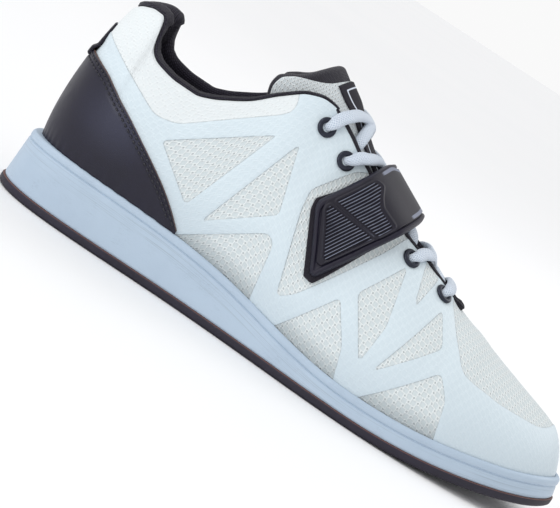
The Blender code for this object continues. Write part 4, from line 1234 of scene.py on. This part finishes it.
def add_threads(name, bundles, finish):
    """Many short spindles in one mesh, each closed by a flat face at both ends."""
    points = []
    faces = []
    first = 0
    for rings in bundles:
        rows, cols = rings.shape[:2]
        points.append(rings.reshape(-1, 3))
        faces += grid_quads(rows, cols, first).tolist()
        last = first + (rows - 1) * cols
        faces += [list(range(first, first + cols)), list(range(last, last + cols))]
        first += rows * cols
    add_piece(name, np.concatenate(points), faces, finish, [])


def make_counter_stitches():
    """Two rows of thread inside the counter's upper edge."""
    rings = []
    for side in (-1.0, 1.0):
        for setback, end in zip(SEAM_SETBACKS, SEAM_ENDS):
            turn = side * np.linspace(turn_of(1.5), turn_of(end), 240)
            t_high = t_at_height(turn, counter_top(turn))
            t_step = t_at_height(turn, counter_top(turn) - 1.0)
            t = t_high - (t_high - t_step) * setback
            rings += stitch_row(turn, t, GAP + SEAM_LIFT)
    add_threads("counter_stitches", rings, THREAD)


def make_heel_tab():
    """Webbing strip up the back of the heel, above the counter."""
    half_turn = float(turn_of(TAB_SIDE))
    across = spread(24, 0.08)
    turn = half_turn * (2.0 * across - 1.0)
    t_low = t_at_height(turn, TAB_FOOT)
    t_high = t_at_height(turn, TAB_TOP)
    up = spread(24, 0.05)
    t = t_low[:, None] + (t_high - t_low)[:, None] * up
    base = upper_skin(turn[:, None], t, 0.0)
    over = TAB_LAP * (1.0 - smoothstep(base[..., 2], 75.5, 78.5))
    outer = upper_skin(turn[:, None], t, GAP + over + TAB_THICK * dome(edge_distance(base), 0.6))
    inner = upper_skin(turn[:, None], t, GAP + over)
    cloth = flat_cloth(run_lengths(base, 0), run_lengths(base, 1))
    add_slab("webbing_tab", outer, inner, BINDING_KNIT, ["heel_tab"], {"cloth": cloth})


def make_collar():
    """Padded knit ring inside the collar that rolls over the upper's edge, thick at the heel.

    Each section is a closed curve through twelve points (inward, along the wall): cubics whose slope at
    a point is half the step between its neighbours.
    """
    turn = around_heel(LINING["x"][-1], 420)
    thick, roll, depth = (steady_curve(LINING["x"], LINING[name])(x_of(turn))
                          for name in ("thick", "roll", "depth"))
    back = WALL + 0.5
    face = back + thick
    profile = [(back, -depth), (back, -depth / 2.0), (back, 0.0), (0.2, 0.35),
               (-0.25, 0.2 + 0.15 * roll), (-0.3, 0.3 + 0.4 * roll), (0.3 * face, 0.4 + 0.88 * roll),
               (0.62 * face, 0.4 + roll), (0.92 * face, 0.5 * roll), (face, -0.15 * depth),
               (back + 0.8 * thick, -0.6 * depth), (back + 0.3 * thick + 0.5, -0.97 * depth)]
    corners = np.stack([collar_point(turn, inward, along) for inward, along in profile], axis=1)
    loops = []
    size = corners.shape[1]
    for k in range(size):
        a, b, c, d = (corners[:, (k + step) % size] for step in (-1, 0, 1, 2))
        for u in (0.0, 0.25, 0.5, 0.75):
            loops.append(0.5 * (2 * b + (c - a) * u + (2 * a - 5 * b + 4 * c - d) * u * u
                                + (3 * b - a - 3 * c + d) * u ** 3))
    loops = np.stack(loops, axis=1)
    cloth = flat_cloth(run_lengths(loops, 0), run_lengths(loops, 1))
    faces = solid_faces(*loops.shape[:2])
    piece = add_piece("collar_pad", loops, faces, LINING_KNIT, ["collar_lining"],
                      {"cloth": cloth})


def make_edge_binding():
    """Knit tape folded over the throat's edge, from the collar's end to the throat's end on each side.

    One closed profile (inward, along the wall) runs along the edge: it grows to its full size past the
    collar's end and swells at the throat's end.
    """
    profile = ((-0.1, -1.9), (-0.5, -1.7), (-0.6, -0.6), (-0.4, 0.5), (0.5, 1.0), (1.5, 1.0),
               (2.4, 0.5), (2.55, -0.8), (2.4, -1.8), (2.05, -1.9))
    for side, word in ((1.0, "lateral"), (-1.0, "medial")):
        turn = side * np.linspace(turn_of(TAPE_START), turn_of(TAPE_END), 260)
        x = x_of(turn)
        taper = 0.55 + 0.45 * smoothstep(x, TAPE_START, 122.0) + 0.7 * smoothstep(x, 214.0, 218.0)
        loops = np.stack([collar_point(turn, 1.0 + (inward - 1.0) * taper, along * taper)
                          for inward, along in profile], axis=1)
        cloth = flat_cloth(run_lengths(loops, 0), run_lengths(loops, 1))
        add_piece("edge_binding_" + word, loops, solid_faces(*loops.shape[:2]), BINDING_KNIT, [],
                  {"cloth": cloth})


def tongue_section(x, q):
    """The tongue's outer face across a section: q is 0 and 2 at its hems, 1 in the middle.

    It is a steady curve from the hem under the upper, past the throat's edge, to the middle, mirrored.
    """
    along, height, tuck = (np.interp(x, TONGUE["x"][::-1], TONGUE[name][::-1])
                           for name in ("along", "height", "tuck"))
    turn = turn_of(x)
    hem = upper_skin(turn, 0.90, -tuck)
    knee = upper_skin(turn, 1.0, -tuck)
    middle = np.stack([along, centre_line(along), height], axis=-1)
    return mirrored_curve([0.0, 0.33, 1.0], np.stack([hem, knee, middle], axis=-2), q)


def mirrored_curve(knots, points, q):
    """A curve through half a section's points and their mirror image, read at q in [0, 2]."""
    knots = np.asarray(knots, dtype=float)
    both = np.concatenate([knots, 2.0 - knots[-2::-1]])
    flip = points[..., -2::-1, :].copy()
    flip[..., 1] = 2.0 * points[..., -1:, 1] - flip[..., 1]
    return steady_points(both, np.concatenate([points, flip], axis=-2), q)


def tongue_above(x, q, lift):
    """A point over the tongue in the throat, a distance along its normal."""
    across = tongue_section(x, q + 0.02) - tongue_section(x, q - 0.02)
    along = tongue_section(x + 1.0, q) - tongue_section(x - 1.0, q)
    normal = unit(np.cross(along, across))
    normal = normal * np.where(normal[..., 2:] < 0.0, -1.0, 1.0)
    return tongue_section(x, q) + normal * np.asarray(lift)[..., None]


def tongue_face(rows, q):
    """The tongue's outer face at shares of its length, 0 at the toe end and 1 at the winged top edge.

    Steady curves run lengthwise through the sections in the throat and on to the wing's edge.
    """
    q = np.asarray(q, dtype=float)
    sections = [tongue_section(np.full_like(q, x), q) for x in TONGUE["x"]]
    wing = np.stack([WING["along"], centre_line(WING["along"]) - WING["half"], WING["height"]], axis=-1)
    top = mirrored_curve(WING["share"], np.broadcast_to(wing, (*q.shape, *wing.shape)), q)
    sections += [sections[-1] + (top - sections[-1]) * share for share in (0.35, 0.7, 1.0)]
    control = np.stack(sections, axis=-2)
    steps = np.linalg.norm(np.diff(control[..., len(q) // 2, :, :], axis=-2), axis=-1)
    knots = np.concatenate([[0.0], np.cumsum(steps)])
    places = np.broadcast_to(np.asarray(rows)[:, None], (len(rows), len(q)))
    return steady_points(knots / knots[-1], control[None, ...], places)


def make_tongue():
    """Padded tongue: thin at its hem and toe end, thicker in the middle, with a bound, rolled top.

    Both faces lie half the thickness from its middle surface, times a quarter-round dome at the rim.
    """
    q = np.linspace(0.0, 2.0, 97)
    rows = spread(150, 0.02)
    face = tongue_face(rows, q)
    middle = 1.0 - np.abs(q - 1.0)
    thick = 1.6 + 2.6 * smoothstep(middle, 0.0, 0.5)[None, :] * smoothstep(rows, 0.0, 0.4)[:, None]
    thick = thick + 2.4 * smoothstep(rows, 0.8, 1.0)[:, None] * smoothstep(middle, 0.1, 0.6)[None, :]
    normal = upward(grid_normals(face))
    from_top = run_lengths(face[::-1], 0)[::-1]
    across = run_lengths(face, 1)
    hem = np.minimum(across, across[:, -1:] - across)
    rim = np.minimum(from_top, hem)
    half = thick / 2.0
    shape = dome(rim + 0.02, np.maximum(half, 0.8))
    centre = face - normal * half[..., None]
    reach = normal * (half * shape)[..., None]
    roll = 1.5 + 7.2 * smoothstep(middle, 0.5, 0.78)[None, :]
    inside_collar = smoothstep(rows, 0.80, 0.86)[:, None]
    black = np.maximum(roll - from_top, (1.5 - hem) * inside_collar - 0.2 * (1.0 - inside_collar))
    cloth = flat_cloth(across - across[:, len(q) // 2, None], from_top)
    points = np.concatenate([centre + reach, (centre - reach)[:, ::-1]], axis=1)
    fields = {"black": np.concatenate([black, np.full(black.shape, 2.0)], axis=1),
              "cloth": np.concatenate([cloth, cloth[:, ::-1]], axis=1)}
    piece = add_piece("tongue_pad", points, solid_faces(len(rows), 2 * len(q)), TONGUE_MESH, ["tongue"],
                      fields)


def make_tongue_label():
    """A plain woven patch along the middle of the tongue, with a thin line inside its edge.

    It is the strip of the tongue's face within LABEL_HALF of the middle, measured across the face.
    """
    q = np.linspace(0.55, 1.45, 181)
    face = tongue_face(np.linspace(0.56, 0.93, 60), q)
    across = run_lengths(face, 1)
    across = across - across[:, len(q) // 2, None]
    wanted = LABEL_HALF * (2.0 * spread(40, 0.05) - 1.0)
    strip = np.stack([np.stack([np.interp(wanted, line, row[:, axis]) for axis in range(3)], axis=-1)
                      for line, row in zip(across, face)])
    normal = upward(grid_normals(strip))
    tall = run_lengths(strip, 0)
    edge = np.minimum(LABEL_HALF - np.abs(wanted), np.minimum(tall, tall[-1:] - tall))
    outer = strip + normal * (GAP + LABEL_THICK * dome(edge, 0.6))[..., None]
    inner = strip + normal * GAP
    add_slab("woven_label", outer, inner, LABEL, ["tongue_label"],
             {"cloth": flat_cloth(wanted, tall), "border": edge})


# The strap's run: five places up each side of a section with its height over the upper there, and the
# straight line of its crown in the side view.
STRAP_KNOTS = np.array([-1.0, -0.85, -0.7, -0.55, -0.4, 0.0, 0.4, 0.55, 0.7, 0.85, 1.0])
STRAP_T = np.array([0.15, 0.38, 0.52, 0.68, 0.84])
STRAP_LATERAL_LIFT = np.array([1.5, 1.5, 1.6, 2.8, 6.0])
STRAP_MEDIAL_LIFT = np.array([1.0, 1.1, 1.2, 2.6, 6.0])
CROWN_X = 149.6
CROWN_HEIGHT = 104.9
CROWN_FALL = 0.513


def strap_under(path, x):
    """The strap's underside at a place along it and a section of the foot.

    It is a steady curve through the places up the medial side, the crown, and down the lateral side.
    """
    turn = turn_of(x)
    medial = upper_skin(2.0 * np.pi - turn[..., None], STRAP_T, STRAP_MEDIAL_LIFT)
    lateral = upper_skin(turn[..., None], STRAP_T, STRAP_LATERAL_LIFT)
    along = EDGE_ALONG(turn)
    crown_height = CROWN_HEIGHT - CROWN_FALL * (along - CROWN_X)
    crown = np.stack([along, centre_line(along), crown_height], axis=-1)
    points = np.concatenate([medial, crown[..., None, :], lateral[..., ::-1, :]], axis=-2)
    return steady_points(STRAP_KNOTS, points, path)


def row_spans(points, along, corners):
    """Where rows of points enter and leave a polygon of the side view, as values of along."""
    flat, _, _ = polygon_distance(points[..., 0], points[..., 2], corners)
    spans = np.full((len(flat), 2), np.nan)
    for k, row in enumerate(flat):
        inside = np.flatnonzero(row < 0.0)
        if len(inside) > 1:
            a, b = inside[0], inside[-1]
            spans[k, 0] = np.interp(0.0, [row[a], row[max(a - 1, 0)]], [along[a], along[max(a - 1, 0)]])
            c = min(b + 1, len(row) - 1)
            spans[k, 1] = np.interp(0.0, [row[b], row[c]], [along[b], along[c]])
    return spans


def strap_spans(paths, corners):
    """The strap's rear and front sections: its table on the medial side, its outline on the lateral."""
    table = np.stack([steady_curve(STRAP["path"], STRAP[name])(paths) for name in ("rear", "front")],
                     axis=1)
    along = np.linspace(124.0, 190.0, 133)
    grid = np.broadcast_to(paths[:, None], (len(paths), len(along)))
    shaped = row_spans(strap_under(grid, np.broadcast_to(along, grid.shape)), along, corners)
    share = smoothstep(paths, 0.0, 0.16)[:, None]
    return np.where(share > 0.0, table + (shaped - table) * share, table)


def strap_grid(paths, inset, corners, shares):
    """The strap's underside and its normals on a grid, and the distance from its edges and its end."""
    spans = strap_spans(paths, corners)
    trim = inset * (1.0 - smoothstep(paths, 0.0, 0.16))
    rear = spans[:, 0] + trim
    front = spans[:, 1] - trim
    keep = (front - rear) > 1.2
    rear, front, paths = rear[keep], front[keep], paths[keep]
    x = rear[:, None] + (front - rear)[:, None] * shares[None, :]
    grid = strap_under(np.broadcast_to(paths[:, None], x.shape), x)
    normal = upward(grid_normals(grid))
    across = run_lengths(grid, 1)
    lean = np.gradient((rear + front) / 2.0) / np.maximum(np.gradient(run_lengths(grid, 0)[:, 0]), 1e-6)
    square = 1.0 / np.sqrt(1.0 + lean * lean)
    edge = np.minimum(across, across[:, -1:] - across) * square[:, None]
    end = run_lengths(grid[::-1], 0)[::-1]
    return grid, normal, np.minimum(edge, end), paths


# The strap's free end in the side view: its outline, the plate's, the plate's two ribbed fields, and
# the patch under it.
STRAP_SHAPE = round_corners(((132.2, 77.4), (132.8, 73.7), (147.1, 47.7), (149.7, 47.7), (175.8, 88.9),
                             (196.0, 120.5), (158.0, 119.8)), 1.4)
PANEL_SHAPE = round_corners(((135.0, 79.3), (135.6, 74.2), (146.9, 53.4), (149.3, 53.1), (171.8, 88.9),
                             (191.8, 120.5), (160.5, 121.5)), 1.2)
UPPER_FIELD = round_corners(((147.6, 95.6), (138.9, 80.9), (163.2, 77.1), (166.6, 83.6), (157.3, 87.6),
                             (154.3, 90.6), (151.6, 95.0)), 1.2)
LOWER_FIELD = round_corners(((137.6, 78.2), (161.9, 75.2), (150.3, 56.4), (148.6, 56.6), (140.2, 70.6),
                             (136.9, 75.6)), 1.2)
PATCH_SHAPE = round_corners(((130.6, 77.2), (131.3, 72.0), (145.6, 44.8), (150.4, 44.6), (154.6, 52.0),
                             (164.0, 70.0), (160.0, 86.0), (138.0, 86.0)), 1.2)


def strap_rows(first, last, count):
    """Places along the strap, closer together towards its rounded free end."""
    end = np.linspace(last - 0.07, last, 36)
    return np.unique(np.concatenate([np.linspace(first, last, count), end]))


def make_strap():
    """The band from the medial rim over the crown to its pointed lateral end, with a raised border."""
    rows = strap_rows(-0.97, 0.93, 230)
    grid, normal, edge, paths = strap_grid(rows, 0.0, STRAP_SHAPE, spread(70, 0.05))
    border = smoothstep(edge, 0.0, 1.4) * (1.0 - smoothstep(edge, 2.4, 3.2))
    raised = BORDER_RISE * border * smoothstep(paths, -0.9, -0.6)[:, None]
    outer = grid + normal * (STRAP_THICK * dome(edge + 0.02, 1.2) + raised)[..., None]
    # painted highlight mask along the raised border, at a quarter strength
    add_slab("strap_band", outer, grid, STRAP_BLACK, ["strap"], {"painted_highlight": 0.25 * border})


def make_strap_panel():
    """The moulded plate on the strap's free end: two ribbed fields with thin raised outlines.

    The ribs are a cosine of RIB_PITCH across the fields, squared off by a smooth step, and each outline
    is a bell curve of the distance from its field. Painted highlights lie on the rib crests, on the
    outlines and in bands along the crown.
    """
    rows = strap_rows(-0.12, 0.9, 300)
    grid, normal, edge, paths = strap_grid(rows, PLATE_INSET, PANEL_SHAPE, spread(150, 0.02))
    x, z = grid[..., 0], grid[..., 2]
    height = STRAP_THICK + GAP + PLATE_THICK * dome(edge + 0.02, 0.5)
    across = (0.87 * x - 0.5 * z) / RIB_PITCH
    wave = np.cos(2.0 * np.pi * across)
    rib = smoothstep(0.5 + 0.5 * wave, 0.2, 0.8)
    painted_highlight = np.zeros(edge.shape)
    for field in (UPPER_FIELD, LOWER_FIELD):
        flat, _, _ = polygon_distance(x, z, field)
        inside = 1.0 - smoothstep(flat, -0.5, 0.1)
        line = np.exp(-((flat - 0.8) / 0.34) ** 2)
        height = height + 0.35 * line - RIB_DEPTH * inside * (1.0 - rib)
        # painted highlight: lighter glints on the rib crests and the raised outlines
        painted_highlight = painted_highlight + 0.38 * line + 0.9 * inside * smoothstep(wave, 0.55, 1.0)
    # painted highlight: bright bands near the edges where the plate passes the crown
    crown = smoothstep(paths, -0.12, -0.02) * (1.0 - smoothstep(paths, 0.2, 0.3))
    painted_highlight = painted_highlight + 0.9 * (1.0 - smoothstep(np.abs(edge - 1.3), 0.7, 1.0)) * crown[:, None]
    outer = grid + normal * height[..., None]
    inner = grid + normal * (STRAP_THICK + GAP)
    add_slab("strap_panel", outer, inner, PANEL_BLACK, ["strap_overlay"],
             {"painted_highlight": np.clip(painted_highlight, 0.0, 1.0)})


def make_hook_patch():
    """The soft hook-and-loop patch on the upper, under the strap's free end."""
    t = np.linspace(0.28, 0.78, 120)
    along = np.linspace(124.0, 180.0, 113)
    spans = row_spans(upper_point(turn_of(along)[None, :], t[:, None]), along, PATCH_SHAPE)
    keep = (spans[:, 1] - spans[:, 0]) > 1.0
    spans, t = spans[keep], t[keep]
    share = spread(50, 0.03)
    turn = turn_of(spans[:, :1] + (spans[:, 1:] - spans[:, :1]) * share)
    base = upper_skin(turn, t[:, None], 0.0)
    outer = upper_skin(turn, t[:, None], GAP + PATCH_THICK * dome(edge_distance(base), 0.5))
    inner = upper_skin(turn, t[:, None], 0.1)
    add_slab("hook_patch", outer, inner, HOOK, ["strap_base"], {})


def eyelet_turn_t(x, setback, side):
    """Where an eyelet sits: the section's angle and the t at its setback from the edge."""
    turn = turn_of(x)
    samples = np.linspace(0.5, 1.0, 101)
    curve = upper_point(turn, samples)
    left = run_lengths(curve[::-1], 0)[::-1]
    t = np.interp(-setback, -left, samples)
    return (turn if side < 0 else 2.0 * np.pi - turn), t


def make_eyelet(number, side, word):
    """A rolled metal ring: an oval section turned round the eyelet's axis."""
    turn, t = eyelet_turn_t(EYELETS["x"][number], EYELETS["setback"][number], side)
    axis = upper_normal(turn, t)
    centre = upper_skin(turn, t, 0.0)
    first = unit(np.cross(axis, (0.0, 0.0, 1.0)))
    second = np.cross(axis, first)
    angle = np.linspace(0.0, 2.0 * np.pi, 48, endpoint=False)[:, None, None]
    roll = np.linspace(0.0, 2.0 * np.pi, 20, endpoint=False)[None, :, None]
    middle = (EYELET_HOLE + EYELET_RADIUS) / 2.0
    half = (EYELET_RADIUS - EYELET_HOLE) / 2.0
    radius = middle + half * np.cos(roll)
    rise = RING_HEIGHT + RING_ROLL * np.sin(roll)
    rings = centre + (np.cos(angle) * first + np.sin(angle) * second) * radius + axis * rise
    faces = grid_quads(*rings.shape[:2], 0, True).tolist()
    name = "%s_%d" % (word, number + 1)
    add_piece("eyelet_ring_" + name, rings, faces, RING_METAL, ["eyelet_" + name])


def smooth_path(control, count):
    """A curve through given points by their chord length, then evened out a little."""
    control = np.array(control)
    knots = run_lengths(control, 0)
    q = np.linspace(0.0, knots[-1], count)
    points = np.stack([steady_curve(knots, control[:, axis])(q) for axis in range(3)], axis=-1)
    for _ in range(10):
        points[1:-1] = (points[:-2] + 2.0 * points[1:-1] + points[2:]) / 4.0
    return points


def eyelet_rise(number, side, lift, ahead=0.0, nearer=0.0):
    """A point over an eyelet, moved ahead along the foot and nearer to the throat's edge."""
    turn, t = eyelet_turn_t(EYELETS["x"][number] + ahead, EYELETS["setback"][number] - nearer, side)
    return upper_skin(turn, t, lift)


# Places of a lace on the tongue, for the first pair and the others: share of the way to the next
# eyelets, place across, and how deep it lies.
LACE_SHARES = (
    ((0.55, 0.72, 0.0), (0.78, 0.98, 0.0), (0.92, 1.22, 0.2), (1.0, 1.45, 1.2), (1.05, 1.68, 3.2)),
    ((0.44, 0.8, 0.0), (0.58, 1.0, 0.0), (0.72, 1.22, 0.0), (0.84, 1.45, 1.0), (0.92, 1.68, 3.0)))


def lace_control(number, side):
    """Points of a lace: out of one eyelet, over the tongue, and under the other edge."""
    x = EYELETS["x"][number]
    step = EYELETS["x"][number + 1] - x
    turn_e = turn_of(x + 0.25 * step)
    turn_e = turn_e if side < 0 else 2.0 * np.pi - turn_e
    lift = LACE_THICK / 2.0 + (1.7 if number == 0 else 0.5)
    points = [eyelet_rise(number, side, -1.5), eyelet_rise(number, side, 0.8, 0.2, 0.4),
              eyelet_rise(number, side, 2.2, 0.08 * step, 2.6),
              eyelet_rise(number, side, 2.3, 0.14 * step, 6.0), upper_skin(turn_e, 1.0, 2.5)]
    for share, q, drop in LACE_SHARES[number > 0]:
        q = q if side < 0 else 2.0 - q
        points.append(tongue_above(np.array(x + share * step), np.array(q), lift - drop))
    return points


FORWARD = unit(np.array([1.0, 0.0, -0.5]))


def add_lace(name, control, nodes):
    """A braided lace along given points, pinched where it comes out of an eyelet."""
    path = smooth_path(control, 90)
    pinch = smoothstep(run_lengths(path, 0), 2.0, 7.0)
    width = LACE_PINCH + (LACE_WIDTH - LACE_PINCH) * pinch
    rings, length = tube(path, FORWARD, width, LACE_THICK)
    around = np.linspace(0.0, 16.0, rings.shape[1], endpoint=False)
    cloth = flat_cloth(length[:, None], around[None, :])
    faces = solid_faces(*rings.shape[:2])
    add_piece(name, rings, faces, BRAID, nodes, {"cloth": cloth})


def make_laces():
    """Four crossings of two laces each, and the straight bar across the last pair of eyelets."""
    for number in range(4):
        for side, word in ((-1, "lateral"), (1, "medial")):
            add_lace("lace_%s_%d" % (word, number + 1), lace_control(number, side),
                     ["lace_crossing_%d" % (number + 1)])
    ends = []
    for side in (-1, 1):
        ends.append([eyelet_rise(4, side, -1.5), eyelet_rise(4, side, 0.8, 0.0, 0.4),
                     eyelet_rise(4, side, 2.1, 0.6, 2.6), eyelet_rise(4, side, 2.1, 1.2, 6.0)])
    middle = (ends[0][-1] + ends[1][-1]) / 2.0 + np.array([0.0, 0.0, 0.6])
    add_lace("lace_bottom_bar", ends[0] + [middle] + ends[1][::-1], ["lace_bar"])


def make_stage():
    """A large pale floor under the shoe."""
    mesh = bpy.data.meshes.new("floor")
    reach = 12.0
    corners = [(-reach, -reach, 0), (reach, -reach, 0), (reach, reach, 0), (-reach, reach, 0)]
    mesh.from_pydata(corners, [], [(0, 1, 2, 3)])
    made, net, shader, spot = new_material("floor_white", 0.9)
    tone = net.noise(spot, 0.002)
    finish_material(net, shader, net.blend(tone, paint("FBFBFC"), paint("F6F7F9")))
    mesh.materials.append(made)
    floor = bpy.data.objects.new("floor", mesh)
    bpy.context.scene.collection.objects.link(floor)


def add_light(name, kind, place_m, size, power):
    """A soft lamp aimed at the shoe's middle; size is metres for an area and an angle for a sun."""
    data = bpy.data.lights.new(name, kind)
    if kind == "SUN":
        data.angle = size
    else:
        data.size = size
    data.energy = power
    lamp = bpy.data.objects.new(name, data)
    bpy.context.scene.collection.objects.link(lamp)
    back = unit(np.array(place_m) - np.array([0.0, 0.0, 0.05]))
    side = unit(np.cross((0.0, 0.0, 1.0), back))
    set_place(lamp, place_m, side, np.cross(back, side), back)


def set_place(thing, where, right, up, back):
    """Put an object at a place with its x, y and z axes along the three given directions."""
    matrix = thing.matrix_world.copy()
    for i in range(3):
        for j, axis in enumerate((right, up, back, where)):
            matrix[i][j] = float(axis[i])
    thing.matrix_world = matrix


# Lamps: name, kind, place in metres, size (an angle for a sun) and power.
LAMPS = (("sky", "SUN", (-0.7, -0.45, 1.1), np.radians(35.0), 0.72),
         ("key", "AREA", (-0.72, -1.05, 0.42), 0.34, 2.7),
         ("rim", "AREA", (0.9, 0.7, 0.9), 0.6, 3.0))


def make_lights():
    """A bright even studio: white surroundings, a little dimmer overhead, and three soft lamps.

    A broad sun and a small key stand on the lateral side towards the heel, and a rim light on the
    medial side towards the toe.
    """
    world = bpy.data.worlds.new("studio")
    world.use_nodes = True
    background = world.node_tree.nodes["Background"]
    net = Nodes(world.node_tree)
    rise = net.split(net.add("TexCoord").outputs["Generated"])[2]
    background.inputs["Color"].default_value = (1.0, 1.0, 1.0, 1.0)
    net.link(background.inputs["Strength"], net.step(net.math("ABSOLUTE", rise), 0.04, 0.3, 0.95, 0.77))
    bpy.context.scene.world = world
    bpy.context.scene.view_settings.view_transform = "Standard"
    for lamp in LAMPS:
        add_light(*lamp)


# Camera: distance in millimetres, height and roll in degrees, lens and sensor in millimetres.
CAMERA_DISTANCE = 1000.0
CAMERA_HEIGHT = 8.0
CAMERA_ROLL = 33.4
CAMERA_LENS = 137.8
CAMERA_SENSOR = 36.0
CAMERA_LOOKS_AT = np.array([150.0, 0.0, 50.0])
# How far the middle of the picture lies from that point, along the picture's right and up.
PICTURE_MIDDLE = (-20.6, 4.4)


def make_camera():
    """The photograph's view: the lateral side from a little above, rolled with the toe down."""
    rise = np.radians(CAMERA_HEIGHT)
    roll = np.radians(CAMERA_ROLL)
    back = np.array([0.0, -np.cos(rise), np.sin(rise)])
    ahead = np.array([1.0, 0.0, 0.0])
    above = np.cross(back, ahead)
    right = np.cos(roll) * ahead + np.sin(roll) * above
    up = -np.sin(roll) * ahead + np.cos(roll) * above
    eye = CAMERA_LOOKS_AT + CAMERA_DISTANCE * back
    middle = CAMERA_LOOKS_AT + PICTURE_MIDDLE[0] * right + PICTURE_MIDDLE[1] * up
    back = unit(eye - middle)
    right = unit(right - np.dot(right, back) * back)
    data = bpy.data.cameras.new("camera")
    data.lens = CAMERA_LENS
    data.sensor_width = CAMERA_SENSOR
    camera = bpy.data.objects.new("camera", data)
    bpy.context.scene.collection.objects.link(camera)
    set_place(camera, place(eye), right, np.cross(back, right), back)
    bpy.context.scene.camera = camera


make_camera()
make_upper()
make_midsole()
make_outsole()
make_insole()
make_counter()
make_counter_stitches()
make_heel_tab()
make_collar()
make_edge_binding()
make_tongue()
make_tongue_label()
make_strap()
make_strap_panel()
make_hook_patch()
for eyelet_number in range(len(EYELETS["x"])):
    make_eyelet(eyelet_number, -1, "lateral")
    make_eyelet(eyelet_number, 1, "medial")
make_laces()
make_stage()
make_lights()
